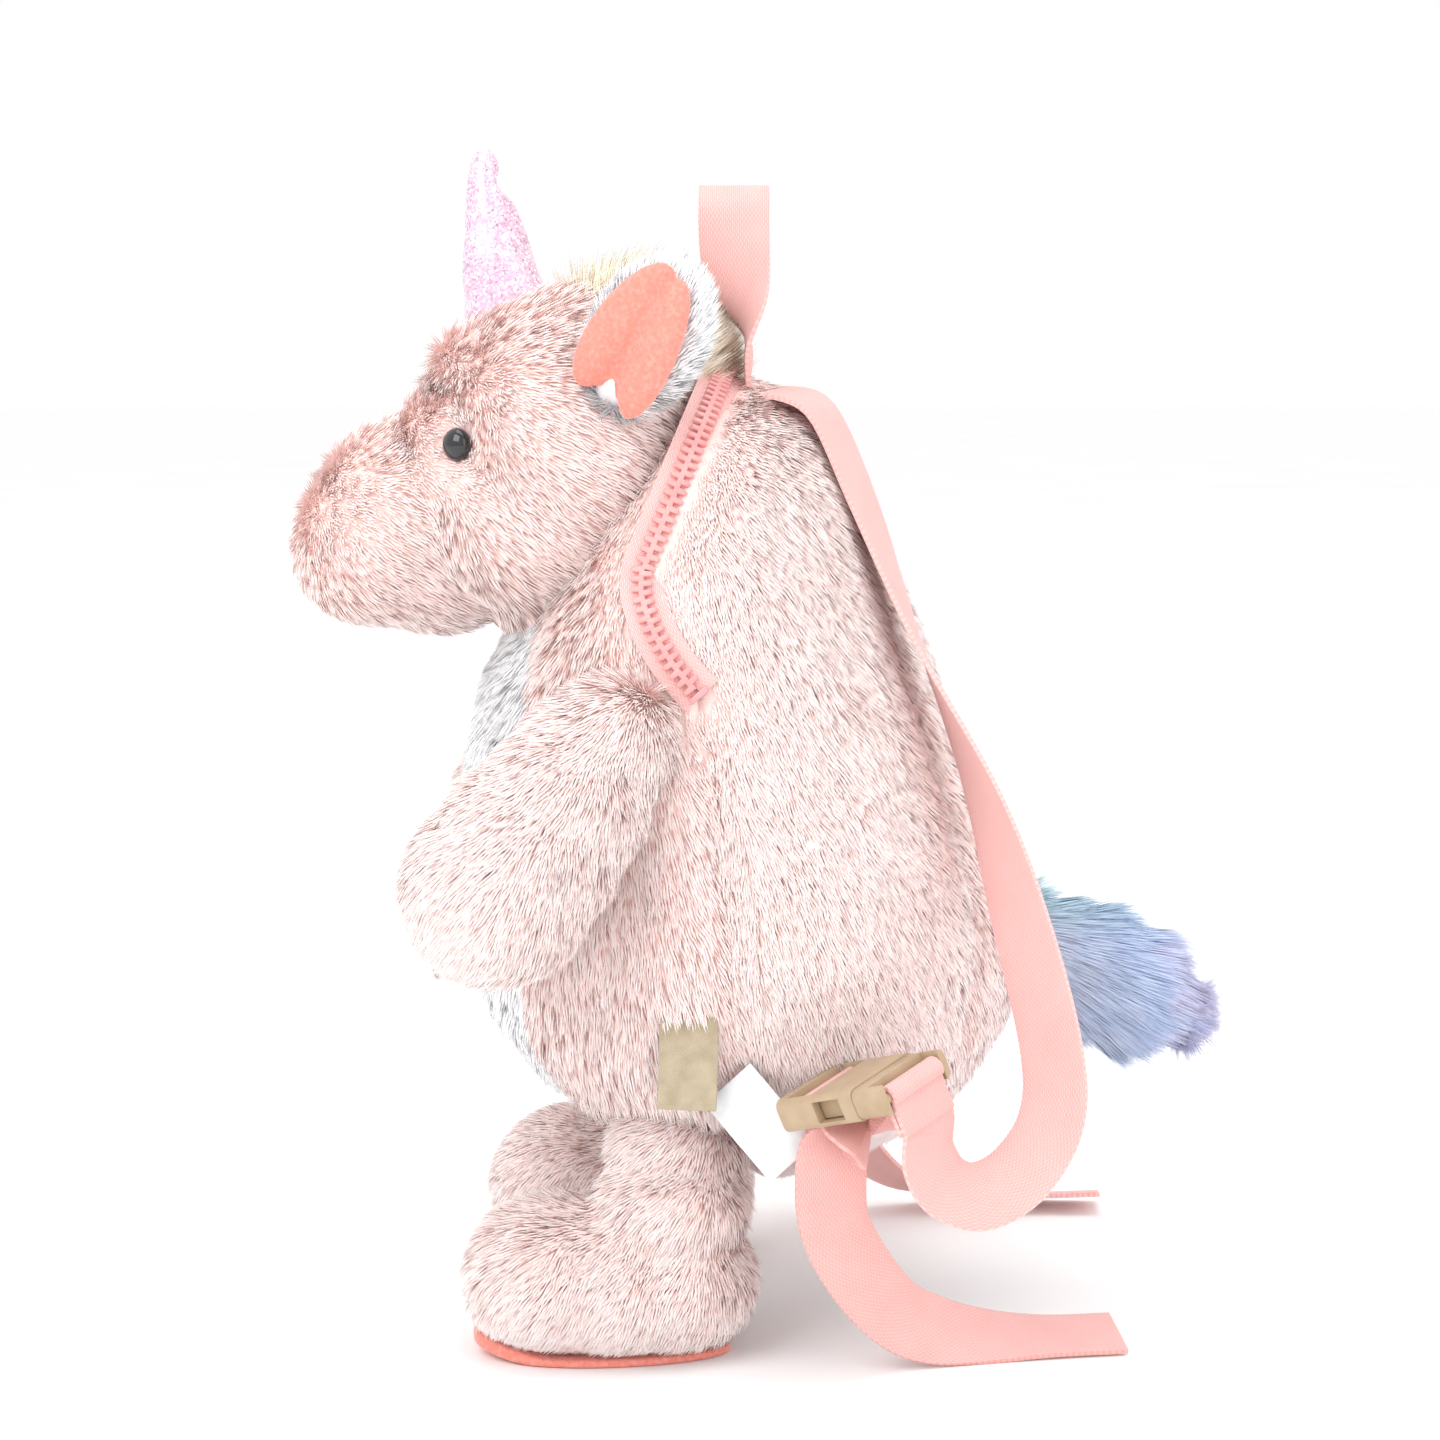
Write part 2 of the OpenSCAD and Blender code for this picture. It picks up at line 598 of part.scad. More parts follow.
frame_w = web_w + 7;   // buckle's width round the webbing
web_room = web_w + 2.6;  // width of the openings that the webbing passes through
mouth = 6;             // where socket and plug meet
bar_l = 3;             // length of each bar along the buckle
slot_l = web_t + 1.6;  // opening that the webbing passes through
cavity_h = buckle_t - 3.5;
ladder = 2 * slot_l + 4;               // opening round the socket's strap bar
socket_bar = mouth - socket_l + bar_l + ladder / 2;
socket_bar_r = 1.2;
plug_bar = mouth + 5 + slot_l + bar_l / 2;
module rounded_block(x0, x1, w, h, r) {
    translate([x0, -w / 2, -h / 2]) hull() for (y = [r, w - r]) for (z = [r, h - r])
        translate([0, y, z]) rotate([0, 90, 0]) cylinder(r = r, h = x1 - x0);
}
module buckle_socket(s) {
    hard("#C9B8A0") side(s) buckle_frame() difference() {
        rounded_block(mouth - socket_l, mouth, frame_w, buckle_t, 2.5);
        translate([mouth - 16, -frame_w / 2 + 2.6, -cavity_h / 2]) cube([20, frame_w - 5.2, cavity_h]);
        translate([mouth - 15, -far / 2, -cavity_h / 2]) cube([10, far, cavity_h]);
        translate([socket_bar - ladder / 2, -web_room / 2, -far / 2]) cube([ladder, web_room, far]);
    }
    hard("#C9B8A0") side(s) buckle_frame() translate([socket_bar, 0, 0]) rotate([90, 0, 0])
        cylinder(r = socket_bar_r, h = web_room + 1, center = true);
}
module buckle_plug(s) {
    reach = mouth - 15.5;
    arm_y = frame_w / 2 - 2.6 - run;
    hard("#C9B8A0") side(s) buckle_frame() {
        difference() {
            rounded_block(mouth + run, mouth + 5 + slot_l + bar_l, frame_w, buckle_t - 1, 2.5);
            translate([mouth + 5, -web_room / 2, -far / 2]) cube([slot_l + bar_l + 1, web_room, far]);
        }
        translate([plug_bar, 0, 0]) rotate([90, 0, 0])
            cylinder(r = bar_l / 2, h = web_room + 1, center = true);
        for (k = [-1, 1]) {
            translate([reach, k > 0 ? arm_y - 2.6 : -arm_y, -cavity_h / 2 + run])
                cube([mouth - reach + 1, 2.6, cavity_h - 2 * run]);
            translate([reach, k > 0 ? arm_y - 5.6 : -arm_y, -cavity_h / 2 + run])
                cube([8, 5.6, cavity_h - 2 * run]);
        }
        translate([reach + 1, -1.6, -cavity_h / 2 + run]) cube([mouth - reach, 3.2, cavity_h - 2 * run]);
    }
}

// Shoulder strap from the neck, down the back, round the plug's bar and sewn to itself
wrap = bar_l / 2 + web_t / 2 + 0.25;
eye_l = wrap + 7;      // the strap's sewn eye reaches this far below the bar
bar_dir = from_buckle([0, -1, 0]);
function shoulder_route() = [
    [[26, 15, bag_z + bag_h - 4], [1, -0.2, -0.1]],
    [[30, 28, bag_z + bag_h - 9], [1, -0.35, -0.2]],
    [[34, bag_y(34, bag_z + 195) + 5, bag_z + 195], [0.92, -0.4, 0]],
    [[40, bag_y(34, bag_z + 160) + 7, bag_z + 158], [0.97, -0.1, 0]],
    [[50, bag_y(34, bag_z + 120) + 9, bag_z + 118], [0.9, 0.35, 0]],
    [[66, 86, bag_z + 80], [0.75, 0.65, 0]],
    [[82, 96, bag_z + 45], [0.7, 0.7, 0]],
    [[91, 97, bag_z + 22], [0.7, 0.65, -0.3]],
    [[97, 87, bag_z + 3], [0.7, 0.4, -0.6]],
    [[101, 70, bag_z - 5], [0.7, -0.05, -0.7]],
    [[104, 58, bag_z + 5], [0.7, -0.6, -0.4]],
    [[105.5, 55, bag_z + 20], bar_dir],
    [at_buckle([plug_bar, 0, -eye_l - 6]), bar_dir],
    [at_buckle([plug_bar, 0, -eye_l - 2.9]), bar_dir]];
module shoulder_strap(s) {
    soft("#F0B5B2") side(s) strip(shoulder_route(), web_w, web_t, 3);
}
// The strap's sewn eye round the plug's bar, which goes where the plug goes
module strap_eye(s) {
    hard("#F0B5B2") side(s) buckle_frame() translate([plug_bar, 0, 0]) rotate([90, 0, 0])
        linear_extrude(web_w, center = true) difference() {
            hull() {
                circle(r = wrap + web_t / 2);
                translate([0, 1 - eye_l]) square([web_t * 2, 2], center = true);
            }
            circle(r = wrap - web_t / 2);
        }
}

// Lower strap: from the bag's lower side under the socket, over its bar and down to a loose end
low_anchor = [bag_x(44, bag_z + 34) + 5.2, 44, bag_z + 34];
over = socket_bar_r + web_t / 2 + 0.8;   // the webbing's middle passes this far from the bar's axis
function tail_end(s) = s > 0
    ? [[[84, 30, 60], [-0.3, 0.95, 0]], [[84, 31, 43], [-0.35, 0.93, 0.1]],
       [[80, 40, 26], [-0.4, 0.75, 0.5]],
       [[72, 52, 13], [-0.5, 0.35, 0.78]], [[62, 70, 6.5], [-0.8, 0, 0.5]],
       [[56, 90, 4.2], [-0.95, 0, 0.27]],
       [[52, 112, 3.8], [-0.96, 0, 0.25]]]
    : [[[84, 30, 60], [-0.5, 0.85, 0]], [[88, 32, 43], [-0.6, 0.8, 0.1]],
       [[94, 43, 24], [-0.7, 0.6, 0.4]],
       [[99, 58, 10.5], [-0.85, 0.3, 0.4]], [[102, 80, 5], [-0.97, 0.1, 0.2]],
       [[103, 104, 4.2], [-0.97, 0, 0.2]],
       [[102, 124, 5], [-0.97, 0, 0.2]]];
function lower_route(s) = [
    [low_anchor, [-0.55, 0.83, 0]],
    [low_anchor + [15, -1, -5], [-0.6, 0.8, 0]],
    [at_buckle([socket_bar + 8, 0, -12]), -bar_dir],
    [at_buckle([socket_bar + over, 0, -6]), -bar_dir],
    [at_buckle([socket_bar + over, 0, 0]), -bar_dir],
    [at_buckle([socket_bar + over * 0.7, 0, over * 0.9]), -bar_dir],
    [at_buckle([socket_bar, 0, over * 1.2]), -bar_dir],
    [at_buckle([socket_bar - over * 0.7, 0, over * 0.9]), -bar_dir],
    [at_buckle([socket_bar - over, 0, 0]), -bar_dir],
    [at_buckle([socket_bar - over, 0, -8]), -bar_dir],
    each tail_end(s)];
module lower_strap(s) {
    hard("#F0B5B2") side(s) strip(lower_route(s), web_w, web_t, 3);
}

// ---- Labels ----

module woven_label() {
    hard("#CFC2AC") translate([bag_x(-8, bag_z + 58) + 0.5, -8, bag_z + 46]) rotate([0, 7, 8])
        translate([0, -8, -14]) cube([1.6, 16, 27]);
}
module care_label() {
    hard("#F5F6F6") translate([bag_x(5, bag_z + 48) + 1.5, 5, bag_z + 42])
        rotate([0, 10, 12]) rotate([-38, 0, 0]) translate([0, -7, -14]) cube([0.5, 28, 27]);
}

front_panel();
belly_patch();
back_panel();
side_panel(1);  // side_panel_left
side_panel(-1);  // side_panel_right
belly_stuffing();
compartment_lining();
zip_tape(-1);  // zip_tape_front
zip_tape(1);  // zip_tape_back
zip_teeth(-1);  // zip_teeth_front
zip_teeth(1);  // zip_teeth_back
zip_stops();
zip_slider();
zip_puller();
head_cover();
head_stuffing();
horn_cover();
horn_stuffing();
forelock();
eye(1);  // eye_left
eye(-1);  // eye_right
eye_washer(1);  // eye_washer_left
eye_washer(-1);  // eye_washer_right
ear_back(1);  // ear_back_left
ear_back(-1);  // ear_back_right
ear_lining(1);  // ear_lining_left
ear_lining(-1);  // ear_lining_right
arm_cover(1);  // arm_cover_left
arm_cover(-1);  // arm_cover_right
arm_stuffing(1);  // arm_stuffing_left
arm_stuffing(-1);  // arm_stuffing_right
leg_cover(1);  // leg_cover_left
leg_cover(-1);  // leg_cover_right
leg_stuffing(1);  // leg_stuffing_left
leg_stuffing(-1);  // leg_stuffing_right
sole(1);  // sole_left
sole(-1);  // sole_right
tail_plush();
tail_core();
haul_loop();
shoulder_strap(1);  // shoulder_strap_left
shoulder_strap(-1);  // shoulder_strap_right
strap_eye(1);  // strap_eye_left
strap_eye(-1);  // strap_eye_right
lower_strap(1);  // lower_strap_left
lower_strap(-1);  // lower_strap_right
buckle_socket(1);  // buckle_socket_left
buckle_socket(-1);  // buckle_socket_right
buckle_plug(1);  // buckle_plug_left
buckle_plug(-1);  // buckle_plug_right
woven_label();
care_label();
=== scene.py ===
import json
import math

import bmesh
import bpy
import numpy as np
from bpy.props import FloatProperty, FloatVectorProperty, PointerProperty
from mathutils import Matrix, Vector, noise


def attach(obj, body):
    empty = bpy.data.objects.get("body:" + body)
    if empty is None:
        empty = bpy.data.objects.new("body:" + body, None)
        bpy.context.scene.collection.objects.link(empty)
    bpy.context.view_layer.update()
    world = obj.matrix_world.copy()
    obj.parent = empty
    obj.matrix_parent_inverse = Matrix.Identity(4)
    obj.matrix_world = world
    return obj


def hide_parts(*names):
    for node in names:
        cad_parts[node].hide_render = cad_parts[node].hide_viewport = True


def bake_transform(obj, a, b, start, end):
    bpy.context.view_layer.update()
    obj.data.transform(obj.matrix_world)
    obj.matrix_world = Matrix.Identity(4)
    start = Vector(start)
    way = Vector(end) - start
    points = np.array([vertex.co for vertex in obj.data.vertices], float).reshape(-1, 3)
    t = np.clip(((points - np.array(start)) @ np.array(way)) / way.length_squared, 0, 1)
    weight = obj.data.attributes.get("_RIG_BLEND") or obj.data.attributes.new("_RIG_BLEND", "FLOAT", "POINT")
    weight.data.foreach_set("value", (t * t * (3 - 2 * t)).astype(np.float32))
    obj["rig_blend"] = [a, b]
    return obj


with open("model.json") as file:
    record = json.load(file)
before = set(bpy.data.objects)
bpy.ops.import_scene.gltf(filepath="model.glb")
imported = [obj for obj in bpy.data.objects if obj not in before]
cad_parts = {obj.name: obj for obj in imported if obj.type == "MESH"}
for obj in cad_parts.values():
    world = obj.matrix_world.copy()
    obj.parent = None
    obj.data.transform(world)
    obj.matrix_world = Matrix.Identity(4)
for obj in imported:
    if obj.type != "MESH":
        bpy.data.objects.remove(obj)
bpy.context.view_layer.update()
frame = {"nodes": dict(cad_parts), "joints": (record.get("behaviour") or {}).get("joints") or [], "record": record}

bl_info = {
    "name": "Plush Unicorn Backpack",
    "version": (1, 0, 0),
    "blender": (4, 5, 0),
    "location": "View3D > Sidebar > Unicorn",
    "description": "Builds a plush unicorn backpack round its packed frame",
    "category": "Object",
}

MM = 0.001
JOINTS = {j["name"]: j for j in frame["joints"]}
NECK_AHEAD = 28  # the neck joint stands this far ahead of the bag's own axis, in mm
MID_Y = -NECK_AHEAD - JOINTS["head_nod"]["pos_m"][1] / MM
SIDES = {"left": 1, "right": -1}

# The bag's outline, as shares of its size: height, front, back, half width
BAG_W, BAG_D, BAG_H, BAG_Z = 156, 156, 230, 41
BAG_ROWS = (
    (0.000, -0.02, 0.22, 0.10), (0.020, -0.10, 0.28, 0.36), (0.055, -0.20, 0.37, 0.62),
    (0.110, -0.33, 0.46, 0.83), (0.195, -0.42, 0.52, 0.94), (0.300, -0.455, 0.545, 1.00),
    (0.410, -0.465, 0.525, 1.00), (0.520, -0.460, 0.450, 0.97), (0.630, -0.420, 0.385, 0.93),
    (0.715, -0.360, 0.335, 0.91), (0.785, -0.300, 0.295, 0.87), (0.865, -0.235, 0.260, 0.77),
    (0.920, -0.180, 0.215, 0.63), (0.957, -0.110, 0.160, 0.48), (0.985, -0.040, 0.100, 0.29),
    (1.000, 0.000, 0.050, 0.08),
)
# The seam between the bag's front and the rest, seen from the side: depth, height
SEAM = ((6, 11), (4, 111), (-5, 186), (-19, 224), (-2, 264), (8, 291))
BACK_SEAM = 0.62  # the two back seams lie on the planes x = this share of y

# The zip's arch over the neck and its short run down the left side
ZIP_TILT = math.radians(-22.5)
ZIP_AXIS = Vector((0, math.cos(ZIP_TILT), math.sin(ZIP_TILT)))
ZIP_UP = Vector((0, -math.sin(ZIP_TILT), math.cos(ZIP_TILT)))
ZIP_C = Vector((0, -22.5, 215))
ZIP_R, ZIP_HALF = 62, math.radians(86)
SIDE_RUN = ((-20.8, 212), (-17.5, 202.5), (-12, 193.5), (-5, 185.5))
TOOTH_PITCH, TAPE_W, TAPE_T = 2.8, 5.8, 0.7

WEB_T = 1.4  # the webbing's thickness, in mm


def at(x, y, z):
    """A point given in millimetres from the bag's own axis, in the frame's metres."""
    return Vector((x, y - MID_Y, z)) * MM


def clamp01(x):
    return np.clip(x, 0.0, 1.0)


def ease(x, low, high):
    """0 below low, 1 above high, with a smooth rise between, for numbers or arrays."""
    t = clamp01((x - low) / (high - low))
    return t * t * (3 - 2 * t)


def bag_col(z, i):
    shares = [r[0] for r in BAG_ROWS]
    return np.interp((np.asarray(z, float) - BAG_Z) / BAG_H, shares, [r[i] for r in BAG_ROWS])


def bag_x(y, z):
    """Half width of the bag where a level line crosses it at depth y."""
    front, back = BAG_D * bag_col(z, 1), BAG_D * bag_col(z, 2)
    share = (y - (front + back) / 2) * 2 / (back - front)
    return BAG_W / 2 * bag_col(z, 3) * math.sqrt(max(0, 1 - share ** 2))


def bag_y(x, z):
    """Depth of the bag's back at half width x."""
    front, back = BAG_D * bag_col(z, 1), BAG_D * bag_col(z, 2)
    share = x / (BAG_W / 2 * bag_col(z, 3))
    return (front + back) / 2 + (back - front) / 2 * math.sqrt(max(0, 1 - share ** 2))


def curve_through(points, steps):
    """A smooth curve through equal-length tuples, with some steps in each stretch."""
    p = [Vector(x) for x in points]
    out = []
    for i in range(len(p) - 1):
        a, b, c, d = p[max(i - 1, 0)], p[i], p[i + 1], p[min(i + 2, len(p) - 1)]
        for s in range(steps):
            t = s / steps
            out.append(0.5 * (2 * b + (c - a) * t + (2 * a - 5 * b + 4 * c - d) * t * t
                              + (3 * b - a - 3 * c + d) * t * t * t))
    return [*out, p[-1]]


# ---------------------------------------------------------------- materials


def linear(code):
    """A colour's hex code as linear red, green, blue and a full alpha."""
    if not isinstance(code, str):
        return code
    parts = [int(code[i:i + 2], 16) / 255 for i in (1, 3, 5)]
    return (*[x / 12.92 if x <= 0.04045 else ((x + 0.055) / 1.055) ** 2.4 for x in parts], 1.0)


def add(tree, kind, links=None, **settings):
    """A new node in a tree, with its settings, and each input set to a value or linked to a socket."""
    node = tree.nodes.new(kind)
    for name, value in settings.items():
        setattr(node, name, value)
    for key, value in (links or {}).items():
        if isinstance(value, bpy.types.NodeSocket):
            tree.links.new(value, node.inputs[key])
        else:
            node.inputs[key].default_value = value
    return node


def maths(tree, way, *values):
    """The result of one Math node on these numbers or sockets."""
    return add(tree, "ShaderNodeMath", dict(enumerate(values)), operation=way).outputs[0]


def ramp(tree, factor, stops):
    """A colour ramp with (place, hex code) stops."""
    node = add(tree, "ShaderNodeValToRGB", {0: factor})
    while len(node.color_ramp.elements) < len(stops):
        node.color_ramp.elements.new(0.5)
    for element, (place, code) in zip(node.color_ramp.elements, stops):
        element.position, element.color = place, linear(code)
    return node.outputs[0]


def surface(name, **sockets):
    """A material with one Principled shader and its plain sockets set, with its tree and shader."""
    made = bpy.data.materials.new(name)
    made.use_nodes = True
    tree = made.node_tree
    shader = tree.nodes["Principled BSDF"]
    for key, value in sockets.items():
        shader.inputs[key.replace("_", " ")].default_value = value
    return made, tree, shader


def finish(tree, shader, colour=None, rough=None, height=None, depth=0.0002, strength=0.5):
    """Links colour, roughness and a bump height to the shader."""
    if colour is not None:
        tree.links.new(colour, shader.inputs["Base Color"])
    if rough is not None:
        tree.links.new(rough, shader.inputs["Roughness"])
    if height is not None:
        bump = add(tree, "ShaderNodeBump", {"Height": height, "Distance": depth, "Strength": strength})
        tree.links.new(bump.outputs[0], shader.inputs["Normal"])


def speckle(tree, size_mm, detail=2.0, stretch=(1, 1, 1)):
    """Noise on Object coordinates whose grains are about this many millimetres across."""
    place = add(tree, "ShaderNodeTexCoord").outputs["Object"]
    scaled = add(tree, "ShaderNodeMapping", {"Vector": place, "Scale": stretch}).outputs[0]
    grains = {"Vector": scaled, "Scale": 1 / (size_mm * MM), "Detail": detail}
    return add(tree, "ShaderNodeTexNoise", grains).outputs[0]


def pile_material(name, stops, patch_mm=20, patchy=0.18):
    """Acrylic pile: each strand runs from a deep root to a pale tip, which gives the eye soft mottled fur."""
    made, tree, shader = surface(name, Roughness=0.92, Sheen_Weight=0.25, Sheen_Roughness=0.5,
                                 Specular_IOR_Level=0.15)
    along = add(tree, "ShaderNodeAttribute", attribute_name="pile").outputs["Fac"]
    shade = add(tree, "ShaderNodeAttribute", attribute_name="shade").outputs["Fac"]
    patch = speckle(tree, patch_mm)
    moved = maths(tree, "SUBTRACT", patch, 0.5)
    moved = maths(tree, "MULTIPLY_ADD", moved, patchy * 2, along)
    vary = maths(tree, "MULTIPLY_ADD", shade, 0.26, moved)
    place = maths(tree, "SUBTRACT", vary, 0.13)
    finish(tree, shader, ramp(tree, place, stops))
    return made


def backing_material(name, dark, pale):
    """Knitted backing cloth under the pile: fine loops, seen only where the pile parts."""
    made, tree, shader = surface(name, Roughness=0.95, Sheen_Weight=0.2, Specular_IOR_Level=0.1)
    loops = speckle(tree, 0.9)
    finish(tree, shader, ramp(tree, speckle(tree, 9), [(0.3, dark), (0.7, pale)]), height=loops, depth=0.0004)
    return made


def velour_material(name, deep, mid, pale):
    """Short polyester velour: a velvet sheen with small brushed marks about 3 mm long."""
    made, tree, shader = surface(name, Roughness=0.85, Sheen_Weight=0.6, Sheen_Roughness=0.35,
                                 Specular_IOR_Level=0.1)
    brushed = speckle(tree, 1.3, 3.0)
    fine = speckle(tree, 0.5)
    both = maths(tree, "MULTIPLY_ADD", fine, 0.4, brushed)
    # painted shade: the colour follows the brushed marks' bump height, paler where raised and darker where low
    colour = ramp(tree, brushed, [(0.3, deep), (0.5, mid), (0.72, pale)])
    finish(tree, shader, colour, height=both, depth=0.0006)
    return made


def weave_map(tree):
    """The map in mm that ribbon_mesh makes, as two sockets: across and along."""
    uv = add(tree, "ShaderNodeUVMap", uv_map="weave").outputs[0]
    return add(tree, "ShaderNodeSeparateXYZ", {0: uv}).outputs[:2]


CORD_MM, RIB_MM = 1.1, 1.8  # the weave's two spacings


def webbing_material(name, deep, mid, pale):
    """Woven polypropylene webbing: cords along it, crossed by ribs, with a dull gloss and a little wear."""
    made, tree, shader = surface(name, Roughness=0.62, Sheen_Weight=0.25, Specular_IOR_Level=0.35)
    side, length = weave_map(tree)
    ribs = maths(tree, "SINE", maths(tree, "MULTIPLY", side, 2 * math.pi / CORD_MM))
    half = maths(tree, "SIGN", ribs)
    shift = maths(tree, "MULTIPLY_ADD", half, 1.5, 0.0)
    along = maths(tree, "MULTIPLY_ADD", length, 2 * math.pi / RIB_MM, shift)
    picks = maths(tree, "SINE", along)
    deepen = maths(tree, "ABSOLUTE", ribs)
    weave = maths(tree, "MULTIPLY_ADD", picks, 0.5, deepen)
    # painted shade: the colour follows the weave's bump height, paler on the raised cords and darker in the
    # hollows between them
    weave_shaded_tone = maths(tree, "MULTIPLY_ADD", weave, 0.35, 0.25)
    # random wear mixed over the painted weave shade
    wear_and_weave_shade = maths(tree, "MULTIPLY_ADD", speckle(tree, 12), 0.3, weave_shaded_tone)
    colour = ramp(tree, wear_and_weave_shade, [(0.15, deep), (0.5, mid), (0.85, pale)])
    finish(tree, shader, colour, height=weave, depth=0.00025)
    return made


def moulded_material(name, dark, pale, rough, grain_mm=0.6):
    """Injection-moulded acetal: an even colour with a faint spark-eroded grain and a soft gloss."""
    made, tree, shader = surface(name, Roughness=rough, IOR=1.48)
    grain = speckle(tree, grain_mm)
    cloud = speckle(tree, 8)
    gloss = maths(tree, "MULTIPLY_ADD", cloud, 0.16, rough - 0.08)
    finish(tree, shader, ramp(tree, cloud, [(0.3, dark), (0.7, pale)]), gloss, grain, 0.00012, 0.35)
    return made


def glitter_material(name):
    """Film cloth with glitter about 0.6 mm across: each flake has its own tilt and tint, so it sparkles."""
    made, tree, shader = surface(name, Specular_IOR_Level=0.8, Coat_Weight=0.35, Coat_Roughness=0.12)
    place = add(tree, "ShaderNodeTexCoord").outputs["Object"]
    flakes = add(tree, "ShaderNodeTexVoronoi", {"Vector": place, "Scale": 1 / (0.62 * MM)})
    tint = add(tree, "ShaderNodeSeparateColor", {0: flakes.outputs["Color"]})
    # the top of the ramp paints a few flakes white: painted glints, on top of the real sparkle from each flake's
    # gloss and metal
    colour = ramp(tree, tint.outputs[0], [(0.0, "#B98FA8"), (0.10, "#DDB0CB"), (0.45, "#E6BFD6"),
                                          (0.75, "#F0D2E3"), (0.93, "#FFFFFF")])
    metal = ramp(tree, tint.outputs[1], [(0.35, "#303030"), (0.8, "#D8D8D8")])
    gloss = maths(tree, "MULTIPLY_ADD", tint.outputs[2], 0.35, 0.16)
    tree.links.new(metal, shader.inputs["Metallic"])
    finish(tree, shader, colour, gloss, tint.outputs[0], 0.0003, 0.6)
    return made


def ribbon_material(name, dark, pale, rough, thread_mm):
    """Narrow woven ribbon for a label: threads crossing at right angles, on its own map in millimetres."""
    made, tree, shader = surface(name, Roughness=rough, Sheen_Weight=0.2)
    waves = [maths(tree, "SINE", maths(tree, "MULTIPLY", s, 2 * math.pi / thread_mm))
             for s in weave_map(tree)]
    weave = maths(tree, "MULTIPLY", waves[0], waves[1])
    # painted shade: the colour follows the weave's bump height, paler where the threads rise and darker where they
    # dip, over a random cloud
    weave_shaded_tone = maths(tree, "MULTIPLY_ADD", weave, 0.25, speckle(tree, 6))
    finish(tree, shader, ramp(tree, weave_shaded_tone, [(0.2, dark), (0.8, pale)]), height=weave, depth=0.0001)
    return made


def gloss_eye_material():
    """Black acrylic eye, polished in the mould: a hard clear highlight over a nearly black body."""
    made, tree, shader = surface("polished_black_acrylic", Roughness=0.06, IOR=1.49, Coat_Weight=0.6,
                                 Coat_Roughness=0.03)
    finish(tree, shader, ramp(tree, speckle(tree, 3), [(0.3, "#0B0C10"), (0.7, "#1C1F27")]))
    return made


WHITE = [(0.0, "#F2F0F3"), (0.35, "#F9F8FA"), (0.7, "#FDFDFE"), (1.0, "#FFFFFF")]


def shades(base, *steps):
    """Colours round a base colour: each step below 0 is darker by that share, above 0 paler by that share."""
    return [(*[c * (1 + k) if k < 0 else c + (1 - c) * k for c in base], 1.0) for k in steps]


def materials():
    """Every finish of the toy, by a short name."""
    user = SIZES()
    pink = shades(user.pile_colour, 0.08, 0.24, 0.5, 0.85)
    return {
        "pink_pile": pile_material("pink_acrylic_pile", list(zip((0.0, 0.3, 0.6, 1.0), pink)), patchy=0.1),
        "white_pile": pile_material("white_acrylic_pile", WHITE, patchy=0.15),
        "mane_pile": pile_material("cream_acrylic_pile", [(0, "#EFDDB6"), (0.4, "#F7E9C8"), (1, "#FFFAEE")]),
        "pink_backing": backing_material("pink_knitted_backing", "#F6D3CC", "#FBE4DF"),
        "white_backing": backing_material("white_knitted_backing", "#D9D6DA", "#F1F0F2"),
        "coral": velour_material("coral_velour", *shades(user.velour_colour, -0.12, 0.0, 0.1)),
        "webbing": webbing_material("pink_polypropylene_webbing", *shades(user.webbing_colour, -0.2, 0.0, 0.2)),
        "tape": webbing_material("pink_zip_tape", "#E7A8A4", "#F0BAB6", "#F6CAC7"),
        "teeth": moulded_material("pink_acetal_teeth", "#E39C9B", "#EDB0AD", 0.42),
        "slider": moulded_material("pink_enamelled_zinc", "#E59A9C", "#EFB0B0", 0.28),
        "buckle": moulded_material("tan_acetal", *shades(user.buckle_colour, -0.1, 0.06), 0.42),
        "washer": moulded_material("natural_nylon", "#DEDCD4", "#EFEDE6", 0.5),
        "glitter": glitter_material("pink_glitter_film"),
        "eye": gloss_eye_material(),
        "label": ribbon_material("tan_woven_ribbon", "#A4947A", "#C6B79E", 0.8, 0.7),
        "label_back": ribbon_material("brown_woven_ribbon", "#3A201C", "#6B3B33", 0.8, 0.7),
        "satin": ribbon_material("white_satin_ribbon", "#E4E6EA", "#FDFDFE", 0.35, 0.4),
        "fibre": backing_material("polyester_fibre", "#E6E4E0", "#FBFAF8"),
        "lining": backing_material("pink_taffeta_lining", "#E3AAA6", "#F0C2BE"),
    }


# ---------------------------------------------------------------- building helpers


def placed(name, data):
    """A new object in the scene."""
    ob = bpy.data.objects.new(name, data)
    bpy.context.scene.collection.objects.link(ob)
    return ob


def show(name, mesh, finish_name, body, nodes=()):
    """A named piece made of this mesh, in its finish, riding on a body and standing for CAD nodes."""
    ob = placed(name, mesh)
    mesh.name = name
    mesh.materials.clear()
    mesh.materials.append(FINISHES[finish_name])
    mesh.shade_smooth()
    if body:
        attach(ob, body)
    if nodes:
        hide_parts(*nodes)
    return ob


def mesh_of(bm, name="made"):
    mesh = bpy.data.meshes.new(name)
    bm.to_mesh(mesh)
    bm.free()
    return mesh


def settled(mesh, *modifiers):
    """The mesh after these modifiers, each a (kind, settings) pair."""
    ob = placed("work", mesh)
    for kind, settings in modifiers:
        m = ob.modifiers.new(kind, kind)
        for key, value in settings.items():
            setattr(m, key, value)
    dg = bpy.context.evaluated_depsgraph_get()
    made = bpy.data.meshes.new_from_object(ob.evaluated_get(dg), preserve_all_data_layers=True, depsgraph=dg)
    bpy.data.objects.remove(ob)
    bpy.data.meshes.remove(mesh)
    return made


def points_of(mesh):
    co = np.empty(len(mesh.vertices) * 3, np.float32)
    mesh.vertices.foreach_get("co", co)
    return co.reshape(-1, 3)


def normals_of(mesh):
    no = np.empty(len(mesh.vertices) * 3, np.float32)
    mesh.vertex_normals.foreach_get("vector", no)
    return no.reshape(-1, 3)


